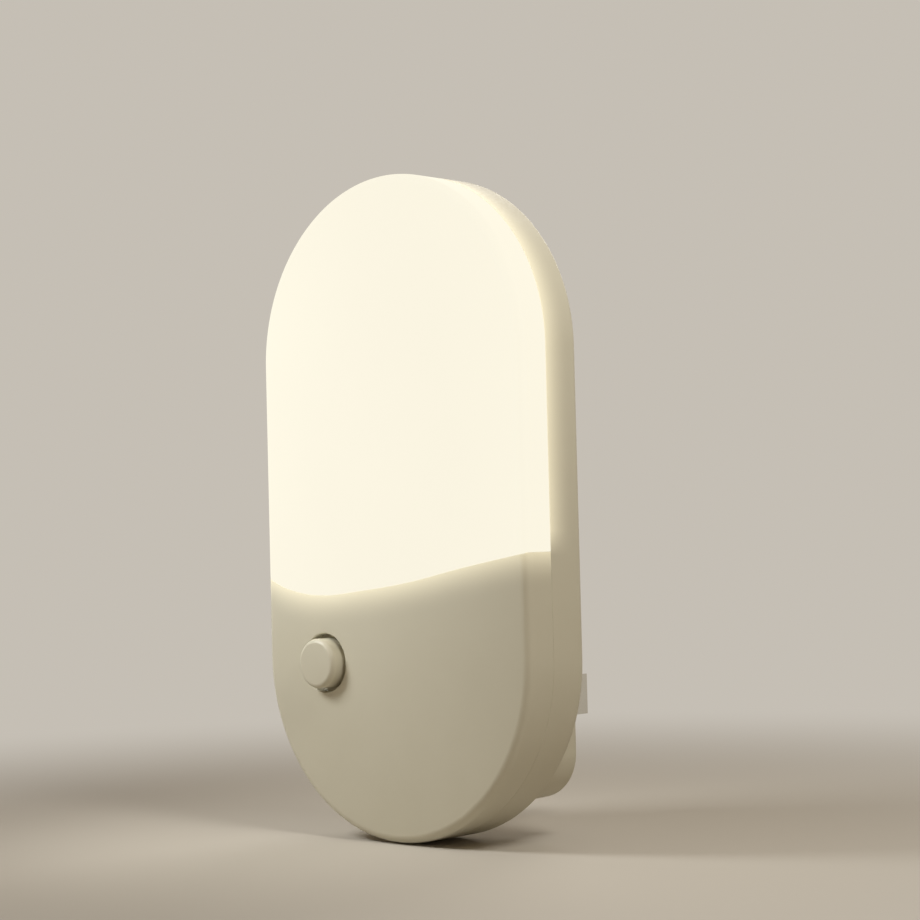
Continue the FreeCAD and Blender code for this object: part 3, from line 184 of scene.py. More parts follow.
# Front cover: the lower front shell, moulded in off-white plastic with a fine matte face. Its top
# edge is a wave, low on the left. The push button stands in a round hole with a guide tube behind
# it, and two screw posts take the screws from behind.
outline_low, outline_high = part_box("rear_housing")
HALF_WIDTH = (outline_high.x - outline_low.x) / 2
OUTLINE_RISE = (outline_high.z + outline_low.z) / 2
SIDE_REACH = (outline_high.z - outline_low.z) / 2 - HALF_WIDTH
FRONT_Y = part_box("diffuser")[0].y
SKIRT_DEPTH = 5.3 * MM
SEAM_Y = FRONT_Y + SKIRT_DEPTH
OUTLINE_STEPS = 224
FRONT_ROUND = 1.3 * MM
ROUND_STEPS = 8
SKIRT_WALL = 1.5 * MM
EDGE_EASE = 0.12 * MM
EASE_ANGLE = math.radians(50)
SAME_POINT = 0.0001 * MM
WAVE_LEVEL = -10.5 * MM
WAVE_SPREAD = 11.0 * MM
WAVE_GAP = 0.06 * MM
WAVE_STEPS = 72
# The wave as points across and up from the middle of the outline, and the heights above or below it
# at which its skin is sliced, all in millimetres.
WAVE = ((-28.3, -9.9), (-22.5, -12.2), (-15.5, -13.19), (-6.0, -12.45), (4.0, -11.22), (14.9, -9.2),
        (28.3, -7.0))
WAVE_LEVELS = (0.4, 0.8, 1.3, 2.0, 3.0, 4.5, 6.5, 9.0)


def wave_rise(x):
    """Height of the wave above the middle of the outline at x, on a smooth curve through WAVE."""
    last = len(WAVE) - 1
    place = next((i for i in range(last) if x < WAVE[i + 1][0] * MM), last - 1)

    def slope(i):
        before, after = WAVE[max(i - 1, 0)], WAVE[min(i + 1, last)]
        return (after[1] - before[1]) / (after[0] - before[0])

    (x0, z0), (x1, z1) = WAVE[place], WAVE[place + 1]
    span = x1 - x0
    t = (x / MM - x0) / span
    lead = (2 * t ** 3 - 3 * t ** 2 + 1) * z0 + (t ** 3 - 2 * t ** 2 + t) * span * slope(place)
    tail = (3 * t ** 2 - 2 * t ** 3) * z1 + (t ** 3 - t ** 2) * span * slope(place + 1)
    return (lead + tail) * MM


def pill_face(bm, inset, y):
    """Flat face with half round ends, inset from the light's outline, in the plane at y."""
    turn = Matrix.Rotation(math.pi / 2, 4, "X") @ Matrix.Rotation(math.pi / OUTLINE_STEPS, 4, "Z")
    made = bmesh.ops.create_circle(
        bm, cap_ends=True, segments=OUTLINE_STEPS, radius=HALF_WIDTH - inset, matrix=turn)
    for vert in made["verts"]:
        vert.co.z += math.copysign(SIDE_REACH, vert.co.z) + OUTLINE_RISE
        vert.co.y = y
    return made["verts"][0].link_faces[0]


def pull_face(bm, face, depth, keep=False):
    """Pull a face along Y and give back the moved face; the one it left stays only if kept."""
    made = bmesh.ops.extrude_face_region(bm, geom=[face], use_keep_orig=keep)["geom"]
    moved = [item for item in made if isinstance(item, bmesh.types.BMVert)]
    bmesh.ops.translate(bm, vec=(0, depth, 0), verts=moved)
    if face.is_valid and not keep:
        bmesh.ops.delete(bm, geom=[face], context="FACES_ONLY")
    return next(item for item in made if isinstance(item, bmesh.types.BMFace))


def round_edges(bm, edges, offset, segments):
    return bmesh.ops.bevel(bm, geom=list(edges), offset=offset, offset_type="OFFSET", affect="EDGES",
                           segments=segments, profile=0.5, material=-1, clamp_overlap=True)


def slice_all(bm, place, normal, **clear):
    """Cut the whole bmesh along a plane; clear_inner or clear_outer drops one side of it."""
    everything = bm.verts[:] + bm.edges[:] + bm.faces[:]
    return bmesh.ops.bisect_plane(bm, geom=everything, dist=SAME_POINT, plane_co=place,
                                  plane_no=normal, **clear)


def bend_to_wave(bm, level):
    """Slice across at even steps, then lift what is near the level plane onto the wave."""
    for step in range(1, WAVE_STEPS):
        slice_all(bm, ((2 * step / WAVE_STEPS - 1) * HALF_WIDTH, 0, 0), (1, 0, 0))
    for vert in bm.verts:
        fade = max(0, 1 - abs(vert.co.z - level) / WAVE_SPREAD)
        vert.co.z += (wave_rise(vert.co.x) - WAVE_LEVEL) * fade * fade * (3 - 2 * fade)


def front_skin(bm, side):
    """One part of the front shell's outer face, above the wave for side 1 or below it for -1."""
    back = pill_face(bm, 0, SEAM_Y)
    front = pull_face(bm, back, FRONT_Y - SEAM_Y)
    round_edges(bm, front.edges[:], FRONT_ROUND, ROUND_STEPS)
    bmesh.ops.recalc_face_normals(bm, faces=bm.faces)
    level = OUTLINE_RISE + WAVE_LEVEL + (WAVE_GAP if side > 0 else 0)
    slice_all(bm, (0, 0, level), (0, 0, side), clear_inner=True)
    for step in WAVE_LEVELS:
        slice_all(bm, (0, 0, level + side * step * MM), (0, 0, 1))
    bend_to_wave(bm, level)


def make_piece(name, bm, body):
    """Smooth shaded piece from a bmesh, riding on a body."""
    mesh = bpy.data.meshes.new(name)
    bm.to_mesh(mesh)
    bm.free()
    mesh.polygons.foreach_set("use_smooth", [True] * len(mesh.polygons))
    piece = bpy.data.objects.new(name, mesh)
    scene.collection.objects.link(piece)
    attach(piece, body)
    return piece


def add_wall(piece, wall):
    solid = piece.modifiers.new("wall", "SOLIDIFY")
    solid.thickness = wall
    solid.offset = -1
    solid.use_even_offset = True


def ease_edges(piece, ease=EDGE_EASE):
    """Break the sharp edges a little, and keep flat faces flat in the shading."""
    soft = piece.modifiers.new("ease", "BEVEL")
    soft.width = ease
    soft.segments = 2
    soft.limit_method = "ANGLE"
    soft.angle_limit = EASE_ANGLE
    soft.harden_normals = True
    level = piece.modifiers.new("flats", "WEIGHTED_NORMAL")
    level.keep_sharp = True


def bake_modifiers(piece):
    """A bmesh of the piece with its modifiers applied."""
    graph = bpy.context.evaluated_depsgraph_get()
    baked = bpy.data.meshes.new_from_object(piece.evaluated_get(graph), depsgraph=graph)
    piece.modifiers.clear()
    bm = bmesh.new()
    bm.from_mesh(baked)
    bpy.data.meshes.remove(baked)
    return bm


def turn_profile(bm, points, x, z, steps, closed=False):
    """Turn a line of (radius, y) points in millimetres round the axis along Y at x and z."""
    line = [bm.verts.new((x + radius * MM, y * MM, z)) for radius, y in points]
    pairs = list(zip(line, line[1:])) + ([(line[-1], line[0])] if closed else [])
    edges = [bm.edges.new(pair) for pair in pairs]
    bmesh.ops.spin(bm, geom=line + edges, cent=(x, 0, z), axis=(0, 1, 0), angle=2 * math.pi,
                   steps=steps, use_merge=True)
    bmesh.ops.remove_doubles(bm, verts=bm.verts, dist=SAME_POINT)
    bmesh.ops.dissolve_degenerate(bm, edges=bm.edges, dist=SAME_POINT)


def join_fittings(bm, fittings):
    """Add separate closed shapes, such as posts that run into a wall, to a piece's bmesh."""
    bmesh.ops.recalc_face_normals(fittings, faces=fittings.faces)
    mesh = bpy.data.meshes.new("fittings")
    fittings.to_mesh(mesh)
    fittings.free()
    bm.from_mesh(mesh)
    bpy.data.meshes.remove(mesh)


def put_back(piece, bm):
    bm.to_mesh(piece.data)
    bm.free()
    piece.data.polygons.foreach_set("use_smooth", [True] * len(piece.data.polygons))


# Radii and places along Y are in millimetres here, as turn_profile takes them.
HOLE_RADIUS = 4.5
HOLE_EASE = 0.2
HOLE_EASE_STEPS = 4
HOLE_STEPS = 96
GUIDE_RADIUS = 5.3
GUIDE_WALL = 1.0
GUIDE_END = -14.8
GUIDE_ROOT = -18.6
GUIDE_FRONT = -17.0
POST_X = 12.5 * MM
POST_Z = -8.5 * MM
POST_RADIUS = 3.0
POST_BORE = 1.3
POST_END = -10.3
POST_BORE_END = -18.0
button_x = button_middle.x
button_z = button_middle.z

cover_bm = bmesh.new()
front_skin(cover_bm, -1)
cover = make_piece("cover_shell", cover_bm, "light")
add_wall(cover, SKIRT_WALL)
bore_line = [(0, GUIDE_FRONT), (HOLE_RADIUS, GUIDE_FRONT)]
for step in range(HOLE_EASE_STEPS + 1):
    angle = math.pi / 2 * step / HOLE_EASE_STEPS
    bore_line.append((HOLE_RADIUS + HOLE_EASE * (1 - math.cos(angle)),
                      FRONT_Y / MM + HOLE_EASE * (1 - math.sin(angle))))
bore_line += [(HOLE_RADIUS + HOLE_EASE, FRONT_Y / MM - HOLE_EASE), (0, FRONT_Y / MM - HOLE_EASE)]
bore_bm = bmesh.new()
turn_profile(bore_bm, bore_line, button_x, button_z, HOLE_STEPS)
bmesh.ops.recalc_face_normals(bore_bm, faces=bore_bm.faces)
bore = make_piece("button_bore", bore_bm, "light")
cut = cover.modifiers.new("bore", "BOOLEAN")
cut.object = bore
cut.operation = "DIFFERENCE"
cut.solver = "EXACT"
cover_bm = bake_modifiers(cover)
bpy.data.objects.remove(bore)
fittings_bm = bmesh.new()
turn_profile(fittings_bm, ((GUIDE_RADIUS, GUIDE_ROOT), (GUIDE_RADIUS, GUIDE_END),
                           (GUIDE_RADIUS + GUIDE_WALL, GUIDE_END),
                           (GUIDE_RADIUS + GUIDE_WALL, GUIDE_ROOT)),
             button_x, button_z, HOLE_STEPS, closed=True)
for side in (-1, 1):
    turn_profile(fittings_bm, ((0, GUIDE_ROOT), (POST_RADIUS, GUIDE_ROOT), (POST_RADIUS, POST_END),
                               (POST_BORE, POST_END), (POST_BORE, POST_BORE_END), (0, POST_BORE_END)),
                 side * POST_X, POST_Z, HOLE_STEPS // 2)
join_fittings(cover_bm, fittings_bm)
put_back(cover, cover_bm)
ease_edges(cover)
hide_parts("front_cover")


def new_group(name, inputs, outputs):
    """Shader node group with its named sockets, its input node and its output node."""
    group = bpy.data.node_groups.new(name, "ShaderNodeTree")
    for label, kind in inputs:
        group.interface.new_socket(label, in_out="INPUT", socket_type=kind)
    for label in outputs:
        group.interface.new_socket(label, in_out="OUTPUT", socket_type="NodeSocketFloat")
    return group, group.nodes.new("NodeGroupInput"), group.nodes.new("NodeGroupOutput")


# The fine spark texture that a mould leaves, and the broad, faint clouding of the plastic.
moulded_grain, given, result = new_group(
    "moulded_grain", (("Grain", "NodeSocketFloat"), ("Cloud", "NodeSocketFloat")), ("Height", "Tone"))
place = wire(moulded_grain, "ShaderNodeTexCoord").outputs["Object"]
spark = wire(moulded_grain, "ShaderNodeTexNoise", place, None, given.outputs["Grain"], 3.0, 0.6)
cloud = wire(moulded_grain, "ShaderNodeTexNoise", place, None, given.outputs["Cloud"], 2.0, 0.5)
tone = wire(moulded_grain, "ShaderNodeMapRange", cloud.outputs[0], 0.35, 0.65)
moulded_grain.links.new(spark.outputs[0], result.inputs["Height"])
moulded_grain.links.new(tone.outputs["Result"], result.inputs["Tone"])


def surface_of(name, texture_group, settings, colour, tint, roughness, relief, shader):
    """Material whose colour, roughness and relief all come from one texture group."""
    material = bpy.data.materials.new(name)
    material.use_nodes = True
    tree = material.node_tree
    surface = tree.nodes["Principled BSDF"]
    texture = wire(tree, "ShaderNodeGroup", node_tree=texture_group)
    for label, value in settings.items():
        texture.inputs[label].default_value = value
    tree.links.new(mix_colours(tree, texture.outputs["Tone"], (*colour, 1), (*tint, 1)),
                   surface.inputs["Base Color"])
    level = wire(tree, "ShaderNodeMapRange", texture.outputs["Height"], 0.3, 0.7, *roughness)
    tree.links.new(level.outputs["Result"], surface.inputs["Roughness"])
    bump = wire(tree, "ShaderNodeBump")
    bump.inputs["Distance"].default_value = relief * MM
    tree.links.new(texture.outputs["Height"], bump.inputs["Height"])
    tree.links.new(bump.outputs["Normal"], surface.inputs["Normal"])
    for label, value in shader.items():
        surface.inputs[label.replace("_", " ")].default_value = value
    return material


def moulded(name, colour, tint, roughness, grain, relief, cloud=80.0, **shader):
    """Moulded, dipped or lacquered finish in two near colours, its relief in millimetres."""
    return surface_of(name, moulded_grain, {"Grain": grain, "Cloud": cloud}, colour, tint, roughness,
                      relief, shader)


def dress(piece, material):
    piece.data.materials.clear()
    piece.data.materials.append(material)


# Painted glow: emission that stands in for the lamp's light through the plastic beside the diffuser,
# strongest at the edge of each piece and gone within a few millimetres.
WAVE_LOW = -14.0
WAVE_SPAN = 8.0
WAVE_REACH = 28.3
WAVE_SAMPLES = 24
painted_lamp_glow, given, result = new_group(
    "painted_lamp_glow", (("Reach", "NodeSocketFloat"),), ("Below Wave", "Behind Seam"))
place = wire(painted_lamp_glow, "ShaderNodeSeparateXYZ", wire(painted_lamp_glow, "ShaderNodeTexCoord").outputs["Object"])
share = wire(painted_lamp_glow, "ShaderNodeMapRange", place.outputs["X"], -WAVE_REACH * MM, WAVE_REACH * MM)
curve = wire(painted_lamp_glow, "ShaderNodeFloatCurve", 1.0, share.outputs["Result"])
points = curve.mapping.curves[0].points
for index in range(WAVE_SAMPLES + 1):
    spot = (index / WAVE_SAMPLES,
            (wave_rise(WAVE_REACH * (2 * index / WAVE_SAMPLES - 1) * MM) / MM - WAVE_LOW) / WAVE_SPAN)
    if index in (0, WAVE_SAMPLES):
        points[0 if index == 0 else -1].location = spot
    else:
        points.new(*spot)
curve.mapping.update()
line = wire(painted_lamp_glow, "ShaderNodeMapRange", curve.outputs[0], 0.0, 1.0,
            OUTLINE_RISE + WAVE_LOW * MM, OUTLINE_RISE + (WAVE_LOW + WAVE_SPAN) * MM)
drop = wire(painted_lamp_glow, "ShaderNodeMath", line.outputs["Result"], place.outputs["Z"], operation="SUBTRACT")


# The painted glow behind the seam is gone a little below the wave's end, and whole a little above it.
GONE_BELOW = 0.5 * MM
WHOLE_ABOVE = 3.0 * MM


def edge_fade(distance, power):
    """1 at the edge, falling to 0 at the group's reach."""
    ratio = wire(painted_lamp_glow, "ShaderNodeMath", distance, given.outputs["Reach"], operation="DIVIDE")
    fade = wire(painted_lamp_glow, "ShaderNodeMapRange", ratio.outputs[0], 0.0, 1.0, 1.0, 0.0)
    return wire(painted_lamp_glow, "ShaderNodeMath", fade.outputs["Result"], power, operation="POWER").outputs[0]


painted_lamp_glow.links.new(edge_fade(drop.outputs[0], power=2.2), result.inputs["Below Wave"])
back = wire(painted_lamp_glow, "ShaderNodeMath", place.outputs["Y"], SEAM_Y, operation="SUBTRACT")
beside = wire(painted_lamp_glow, "ShaderNodeMapRange", drop.outputs[0], GONE_BELOW, -WHOLE_ABOVE, 0.0, 1.0)
behind = wire(painted_lamp_glow, "ShaderNodeMath", edge_fade(back.outputs[0], power=2.0),
              beside.outputs["Result"], operation="MULTIPLY")
painted_lamp_glow.links.new(behind.outputs[0], result.inputs["Behind Seam"])

# The off-white plastic, and the colour, reach and strength of the glow painted on it near the diffuser.
OFF_WHITE = (0.625, 0.59, 0.475)
OFF_WHITE_TINT = (0.613, 0.578, 0.463)
PAINTED_GLOW_COLOUR = (1.0, 0.90, 0.62, 1)
PAINTED_GLOW_REACH = 5.2 * MM
PAINTED_GLOW_STRENGTH = 0.40


def plastic_with_painted_glow(name, output):
    """The off-white matte plastic, with painted glow near the diffuser standing in for the lamp's light."""
    material = moulded(name, OFF_WHITE, OFF_WHITE_TINT, roughness=(0.42, 0.58), grain=5200.0,
                       relief=0.012, Specular_IOR_Level=0.35, Emission_Strength=PAINTED_GLOW_STRENGTH)
    tree = material.node_tree
    # Painted glow: an emission colour masked near the diffuser, not light from a lamp.
    painted_glow_node = wire(tree, "ShaderNodeGroup", node_tree=painted_lamp_glow)
    painted_glow_node.inputs["Reach"].default_value = PAINTED_GLOW_REACH
    shown = mix_colours(tree, painted_glow_node.outputs[output], (0, 0, 0, 1), PAINTED_GLOW_COLOUR)
    tree.links.new(shown, tree.nodes["Principled BSDF"].inputs["Emission Color"])
    return material


# The cover's painted glow lies just below the wave.
dress(cover, plastic_with_painted_glow("cover_off_white_painted_glow", "Below Wave"))

# Rear housing: the rear shell and the hollow plug boss in one off-white moulding. A rim in front of
# the seam stands inside the front pieces, and screws from the plug face pass through it.
CREASE = math.radians(32)
CAD_SAME_POINT = 0.001 * MM


def merged_copy(node, name, body):
    """A smooth shaded copy of a CAD node, its loose triangles joined and its creases kept sharp."""
    bm = bmesh.new()
    bm.from_mesh(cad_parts[node].data)
    bmesh.ops.remove_doubles(bm, verts=bm.verts, dist=CAD_SAME_POINT)
    for edge in bm.edges:
        if len(edge.link_faces) != 2 or edge.calc_face_angle(0) > CREASE:
            edge.smooth = False
    piece = make_piece(name, bm, body)
    piece.modifiers.new("flats", "WEIGHTED_NORMAL").keep_sharp = True
    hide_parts(node)
    return piece


housing = merged_copy("rear_housing", "housing_shell", "light")
# The housing's painted glow lies just behind the seam.
dress(housing, plastic_with_painted_glow("housing_off_white_painted_glow", "Behind Seam"))

# Diffuser: the milky upper front shell, lit warm white from behind. It covers the front and its side,
# a tongue passes behind the cover's edge, and four snap arms hook into the rear housing's rim.
TONGUE_FRONT = -17.9 * MM
TONGUE_WALL = 1.0 * MM
TONGUE_INSET = 2.5 * MM
TONGUE_UPPER = 2.35 * MM
TONGUE_LOWER = 2.2 * MM
ARM_HEIGHTS = (31.0 * MM, 48.0 * MM)
ARM_X = 23.15 * MM
ARM_SIZE = (1.0 * MM, 5.0 * MM, 5.0 * MM)
ARM_MIDDLE_Y = -15.4 * MM
HOOK_SIZE = (1.4 * MM, 0.7 * MM, 5.0 * MM)
HOOK_Y = -13.25 * MM

diffuser_bm = bmesh.new()
front_skin(diffuser_bm, 1)
diffuser = make_piece("diffuser_shell", diffuser_bm, "light")
add_wall(diffuser, SKIRT_WALL)
diffuser_bm = bake_modifiers(diffuser)

tongue_bm = bmesh.new()
tongue_front = pill_face(tongue_bm, TONGUE_INSET, TONGUE_FRONT)
pull_face(tongue_bm, tongue_front, TONGUE_WALL, keep=True)
bmesh.ops.recalc_face_normals(tongue_bm, faces=tongue_bm.faces)
tongue_level = OUTLINE_RISE + WAVE_LEVEL
for reach, side in ((TONGUE_UPPER, 1), (-TONGUE_LOWER, -1)):
    sliced = slice_all(tongue_bm, (0, 0, tongue_level + reach), (0, 0, side), clear_outer=True)
    rim = [item for item in sliced["geom_cut"] if isinstance(item, bmesh.types.BMEdge)]
    bmesh.ops.holes_fill(tongue_bm, edges=rim, sides=0)
bend_to_wave(tongue_bm, tongue_level)
for side in (-1, 1):
    for height in ARM_HEIGHTS:
        for middle, extent in (((side * ARM_X, ARM_MIDDLE_Y, height), ARM_SIZE),
                               ((side * (ARM_X + ARM_SIZE[0] / 2), HOOK_Y, height), HOOK_SIZE)):
            bmesh.ops.create_cube(tongue_bm, size=1, matrix=Matrix.Translation(middle)
                                  @ Matrix.Diagonal((*extent, 1)))
join_fittings(diffuser_bm, tongue_bm)
put_back(diffuser, diffuser_bm)
ease_edges(diffuser)
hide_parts("diffuser")

GLOW_CENTRE = (0.95, 0.90, 0.75, 1)
GLOW_RIM = (0.975, 0.925, 0.77, 1)
GLOW_RISE = 8 * MM
GLOW_SCALE = (1.25, 0, 0.7)
GLOW_START = 16 * MM
GLOW_END = 38 * MM
milky = moulded("milky_lit", (0.055, 0.053, 0.045), (0.05, 0.048, 0.041), roughness=(0.74, 0.86),
                grain=4200.0, relief=0.006, Specular_IOR_Level=0.1, Emission_Strength=0.96)
tree = milky.node_tree
place = wire(tree, "ShaderNodeTexCoord").outputs["Object"]
centred = wire(tree, "ShaderNodeMapping", place)
centred.inputs["Location"].default_value = (0, 0, -GLOW_SCALE[2] * (OUTLINE_RISE + GLOW_RISE))
centred.inputs["Scale"].default_value = GLOW_SCALE
away = wire(tree, "ShaderNodeVectorMath", centred.outputs[0], operation="LENGTH")
rim_share = wire(tree, "ShaderNodeMapRange", away.outputs["Value"], GLOW_START, GLOW_END)
tree.links.new(mix_colours(tree, rim_share.outputs["Result"], GLOW_CENTRE, GLOW_RIM),
               tree.nodes["Principled BSDF"].inputs["Emission Color"])
dress(diffuser, milky)

# Push button: a round off-white cap with a soft edge. A stop flange behind the cover keeps it in,
# and a socket in its rear sits on the stem of the switch.
# Radii and places along Y, in millimetres.
CAP_RADIUS = 3.8
CAP_FRONT = -21.65
CAP_ROUND = 0.75
CAP_ROUND_STEPS = 8
FLANGE_RADIUS = 5.1
FLANGE_EASE = 0.15
FLANGE_FRONT = -17.9
FLANGE_REAR = -16.9
SOCKET_RADIUS = 1.52
SOCKET_END = -18.9
CAP_STEPS = 128

cap_line = [(0, CAP_FRONT)]
for step in range(CAP_ROUND_STEPS + 1):
    angle = math.pi / 2 * step / CAP_ROUND_STEPS
    cap_line.append((CAP_RADIUS - CAP_ROUND * (1 - math.sin(angle)),
                     CAP_FRONT + CAP_ROUND * (1 - math.cos(angle))))
cap_line += [(CAP_RADIUS, FLANGE_FRONT), (FLANGE_RADIUS - FLANGE_EASE, FLANGE_FRONT),
             (FLANGE_RADIUS, FLANGE_FRONT + FLANGE_EASE), (FLANGE_RADIUS, FLANGE_REAR - FLANGE_EASE),
             (FLANGE_RADIUS - FLANGE_EASE, FLANGE_REAR), (SOCKET_RADIUS, FLANGE_REAR),
             (SOCKET_RADIUS, SOCKET_END), (0, SOCKET_END)]
cap_bm = bmesh.new()
turn_profile(cap_bm, cap_line, button_x, button_z, CAP_STEPS)
bmesh.ops.recalc_face_normals(cap_bm, faces=cap_bm.faces)
for edge in cap_bm.edges:
    if edge.calc_face_angle(0) > CREASE:
        edge.smooth = False
cap = make_piece("button_cap", cap_bm, "button")
cap.modifiers.new("flats", "WEIGHTED_NORMAL").keep_sharp = True
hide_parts("push_button")
dress(cap, moulded("button_off_white", (0.63, 0.595, 0.48), (0.61, 0.575, 0.46), roughness=(0.36, 0.48),
                   grain=6000.0, relief=0.008, Specular_IOR_Level=0.4))

# Plug blades: flat nickel plated brass, drawn and punched, with a shoulder under the clamp and a
# tail through the board.
drawn_lines, given, result = new_group(
    "drawn_lines", (("Stretch", "NodeSocketVector"),), ("Height", "Tone"))
place = wire(drawn_lines, "ShaderNodeTexCoord").outputs["Object"]
stretched = wire(drawn_lines, "ShaderNodeVectorMath", place, given.outputs["Stretch"], operation="MULTIPLY")
lines = wire(drawn_lines, "ShaderNodeTexNoise", stretched.outputs[0], None, 1.0, 4.0, 0.65)
stains = wire(drawn_lines, "ShaderNodeTexNoise", place, None, 160.0, 3.0, 0.55)
tone = wire(drawn_lines, "ShaderNodeMapRange", stains.outputs[0], 0.35, 0.7)
drawn_lines.links.new(lines.outputs[0], result.inputs["Height"])
drawn_lines.links.new(tone.outputs["Result"], result.inputs["Tone"])


def metal(name, colour, tint, roughness, stretch, relief):
    """Drawn, rolled or turned metal: fine lines along the direction with the least stretch."""
    return surface_of(name, drawn_lines, {"Stretch": stretch}, colour, tint, roughness, relief,
                      {"Metallic": 1.0})


nickel = metal("nickel_plated_brass", (0.70, 0.675, 0.61), (0.66, 0.63, 0.56), roughness=(0.17, 0.27),
               stretch=(9000, 260, 9000), relief=0.0012)
for side in ("left", "right"):
    blade = merged_copy(f"plug_blade_{side}", f"blade_{side}", "light")
    dress(blade, nickel)

# Screws: turned steel with a pan head and a cross recess, zinc plated. Two hold the cover from the
# plug face, two the blade clamp, one the driver board and four the lamp board.
zinc = metal("zinc_plated_steel", (0.56, 0.56, 0.55), (0.46, 0.46, 0.46), roughness=(0.26, 0.42),
             stretch=(1800, 600, 1800), relief=0.004)
for node in ("cover_screws", "clamp_screws", "board_screw", "led_board_screws"):
    screw = merged_copy(node, f"{node}_turned", "light")
    dress(screw, zinc)

# Blade clamp: a plain plate moulded in grey-white plastic. Two screws hold it down on the shoulders
# of the blades, inside the plug boss.
clamp = merged_copy("blade_clamp", "clamp_plate", "light")
dress(clamp, moulded("plain_grey_white", (0.50, 0.48, 0.42), (0.46, 0.44, 0.38), roughness=(0.45, 0.6),
                     grain=4000.0, relief=0.02))

# Driver board: glass fibre board with green lacquer, under which its weave just shows. One screw
# holds it on a post of the rear housing.
WEAVE_THREADS = 380.0
WEAVE_RELIEF = 0.006 * MM
board_weave, given, result = new_group("board_weave", (("Threads", "NodeSocketFloat"),), ("Height",))
place = wire(board_weave, "ShaderNodeTexCoord").outputs["Object"]
warp = wire(board_weave, "ShaderNodeTexWave", place, given.outputs["Threads"], bands_direction="X")
weft = wire(board_weave, "ShaderNodeTexWave", place, given.outputs["Threads"], bands_direction="Z")
woven = wire(board_weave, "ShaderNodeMath", warp.outputs["Fac"], weft.outputs["Fac"], operation="MULTIPLY")
board_weave.links.new(woven.outputs[0], result.inputs["Height"])


def lacquered_board(name, colour, tint, roughness):
    """Lacquered board: the weave of its glass cloth shows under the lacquer."""
    material = moulded(name, colour, tint, roughness, grain=2500.0, relief=0.004, cloud=140.0,
                       Coat_Weight=0.3, Coat_Roughness=0.15)
    tree = material.node_tree
    weave = wire(tree, "ShaderNodeGroup", node_tree=board_weave)
    weave.inputs["Threads"].default_value = WEAVE_THREADS
    bump = wire(tree, "ShaderNodeBump")
    bump.inputs["Distance"].default_value = WEAVE_RELIEF
    tree.links.new(weave.outputs["Height"], bump.inputs["Height"])
    tree.links.new(bump.outputs["Normal"], tree.nodes["Principled BSDF"].inputs["Normal"])
    return material


board = merged_copy("driver_board", "board_plate", "light")
dress(board, lacquered_board("green_lacquer", (0.05, 0.20, 0.07), (0.04, 0.16, 0.06),
                             roughness=(0.28, 0.4)))

# Solder: a bright cone of tin round the tail of each blade, where it comes through the driver
# board.
solder = merged_copy("blade_solder", "solder_joints", "light")
dress(solder, metal("bright_tin", (0.70, 0.70, 0.69), (0.60, 0.60, 0.60), roughness=(0.14, 0.26),
                    stretch=(500, 500, 500), relief=0.01))

# Film capacitor, electrolytic capacitor and fuse resistor: dipped in red epoxy, sleeved in black
# film and lacquered blue-grey. Each stands on the driver board on its bent leads.
for node, name, colour, tint, rough in (
        ("film_capacitor", "film_case", (0.42, 0.05, 0.03), (0.36, 0.04, 0.025), (0.12, 0.22)),
        ("electrolytic_capacitor", "can_sleeve", (0.02, 0.02, 0.026), (0.03, 0.03, 0.036), (0.22, 0.34)),
        ("fuse_resistor", "fuse_lacquer", (0.16, 0.27, 0.33), (0.13, 0.23, 0.29), (0.25, 0.38))):
    part = merged_copy(node, f"{node}_body", "light")
    dress(part, moulded(f"{name}_finish", colour, tint, rough, grain=2600.0, relief=0.01,
                        Coat_Weight=0.4))

# Bridge rectifier, driver chip and chip resistors: black epoxy moulded round the chip, on flat
# tinned legs that are soldered to the driver board.
epoxy = moulded("black_epoxy", (0.022, 0.022, 0.023), (0.030, 0.030, 0.031), roughness=(0.42, 0.6),
                grain=7000.0, relief=0.015)
for node in ("bridge_rectifier", "driver_chip", "chip_resistors"):
    part = merged_copy(node, f"{node}_moulded", "light")
    dress(part, epoxy)

# Push switch: a black moulded body with a tinned sheet cover over it and brass terminals through its
# floor. The plunger carries the button's stem and a contact bridge, and slides with the button.
switch = merged_copy("switch_body", "switch_case", "light")
dress(switch, moulded("switch_black", (0.026, 0.026, 0.027), (0.034, 0.034, 0.035),
                      roughness=(0.38, 0.55), grain=4500.0, relief=0.012))
sheet_lid = merged_copy("switch_cover", "switch_lid", "light")
dress(sheet_lid, metal("tinned_sheet", (0.60, 0.60, 0.58), (0.50, 0.50, 0.49), roughness=(0.24, 0.38),
                       stretch=(6000, 300, 400), relief=0.003))
contact = metal("plated_brass", (0.72, 0.53, 0.24), (0.62, 0.43, 0.18), roughness=(0.18, 0.3),
                stretch=(4000, 500, 800), relief=0.003)
for node, body in (("switch_terminals", "light"), ("switch_wiper", "button")):
    part = merged_copy(node, f"{node}_brass", body)
    dress(part, contact)
plunger = merged_copy("switch_plunger", "plunger_slide", "button")
dress(plunger, moulded("plunger_white", (0.66, 0.65, 0.61), (0.62, 0.61, 0.57), roughness=(0.34, 0.46),
                       grain=5000.0, relief=0.008))

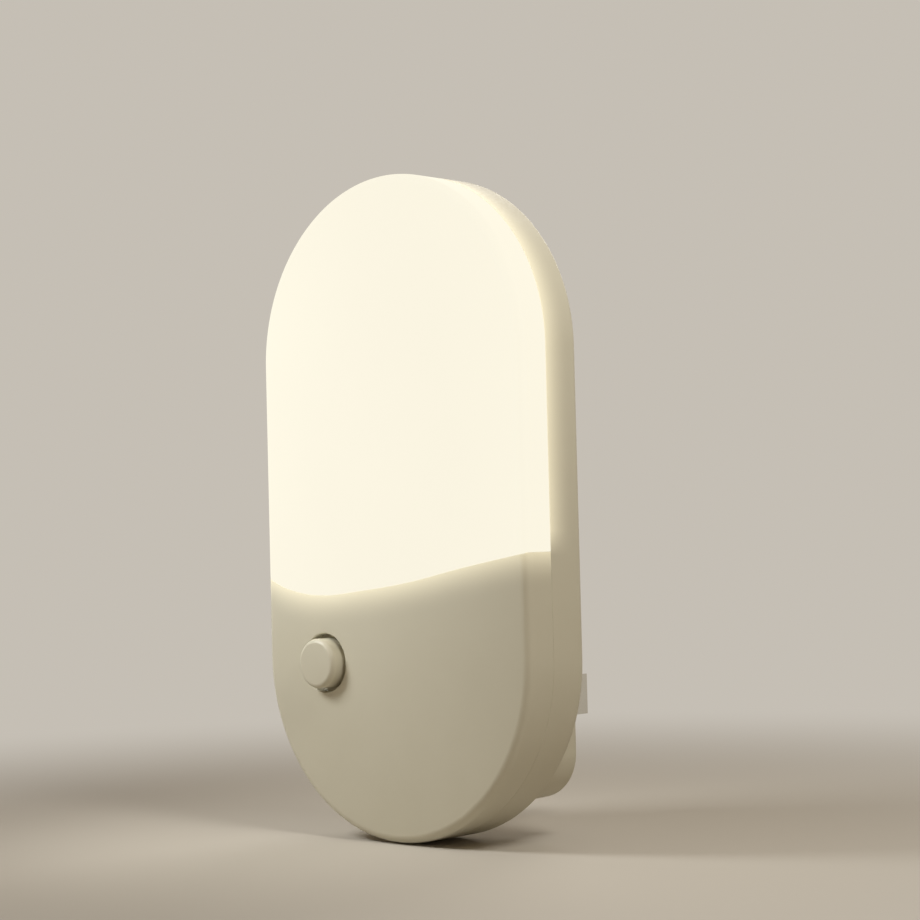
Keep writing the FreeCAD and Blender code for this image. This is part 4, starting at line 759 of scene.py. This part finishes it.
# Switch spring: one open coil of bright wire between the switch floor and the plunger, which it
# pushes back up. It is squeezed as the button goes in.
# Places along Y and radii, in millimetres.
SPRING_FOOT = -10.9
SPRING_HEAD = -13.95
SPRING_RADIUS = 1.2
SPRING_WIRE = 0.13
SPRING_WIRE_STEPS = 12
SPRING_SEAT = 0.05
SPRING_TURNS = 4
SPRING_STEPS = 40
spring_start = (SPRING_FOOT - SPRING_SEAT - SPRING_WIRE) * MM
spring_rise = (SPRING_HEAD + SPRING_SEAT + SPRING_WIRE) * MM - spring_start
spring_bm = bmesh.new()
bmesh.ops.create_circle(
    spring_bm, cap_ends=True, segments=SPRING_WIRE_STEPS, radius=SPRING_WIRE * MM,
    matrix=Matrix.Translation((button_x + SPRING_RADIUS * MM, spring_start, button_z)))
bmesh.ops.spin(
    spring_bm, geom=spring_bm.faces[:], cent=(button_x, 0, button_z), axis=(0, 1, 0),
    dvec=(0, spring_rise / (SPRING_TURNS * SPRING_STEPS), 0), angle=2 * math.pi * SPRING_TURNS,
    steps=SPRING_TURNS * SPRING_STEPS)
bmesh.ops.recalc_face_normals(spring_bm, faces=spring_bm.faces)
spring = make_piece("spring_coil", spring_bm, "light")
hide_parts("switch_spring")
dress(spring, metal("bright_wire", (0.58, 0.58, 0.58), (0.50, 0.50, 0.50), roughness=(0.16, 0.28),
                    stretch=(800, 800, 800), relief=0.002))
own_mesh(spring)

# Lamp board: glass fibre board with white lacquer, behind the diffuser. Its twelve lamps are each a
# white moulded package, filled with yellow phosphor that glows.
lamp_board = merged_copy("led_board", "lamp_board_plate", "light")
dress(lamp_board, lacquered_board("white_lacquer", (0.78, 0.77, 0.73), (0.74, 0.73, 0.69),
                                  roughness=(0.25, 0.35)))
package = merged_copy("led_packages", "lamp_packages", "light")
dress(package, moulded("package_white", (0.80, 0.79, 0.76), (0.76, 0.75, 0.72), roughness=(0.35, 0.5),
                       grain=6000.0, relief=0.006))
phosphor = merged_copy("led_phosphors", "lamp_phosphors", "light")
dress(phosphor, moulded("phosphor_lit", (0.80, 0.55, 0.10), (0.76, 0.50, 0.08), roughness=(0.2, 0.3),
                        grain=6000.0, relief=0.006, Emission_Color=(1.0, 0.80, 0.45, 1),
                        Emission_Strength=2.0))

# Lamp wires: a red and a black lead, stranded copper in extruded insulation. They arch from the
# driver board to the lamp board, and are soldered at both ends.
for node, name, colour, tint in (
        ("led_wire_red", "red_insulation", (0.50, 0.03, 0.02), (0.44, 0.025, 0.018)),
        ("led_wire_black", "black_insulation", (0.02, 0.02, 0.02), (0.03, 0.03, 0.03))):
    lead = merged_copy(node, f"{node}_lead", "light")
    dress(lead, moulded(f"{name}_finish", colour, tint, roughness=(0.3, 0.42), grain=3000.0,
                        relief=0.01, cloud=200.0))

# Last, the view layer is brought up to date.
bpy.context.view_layer.update()
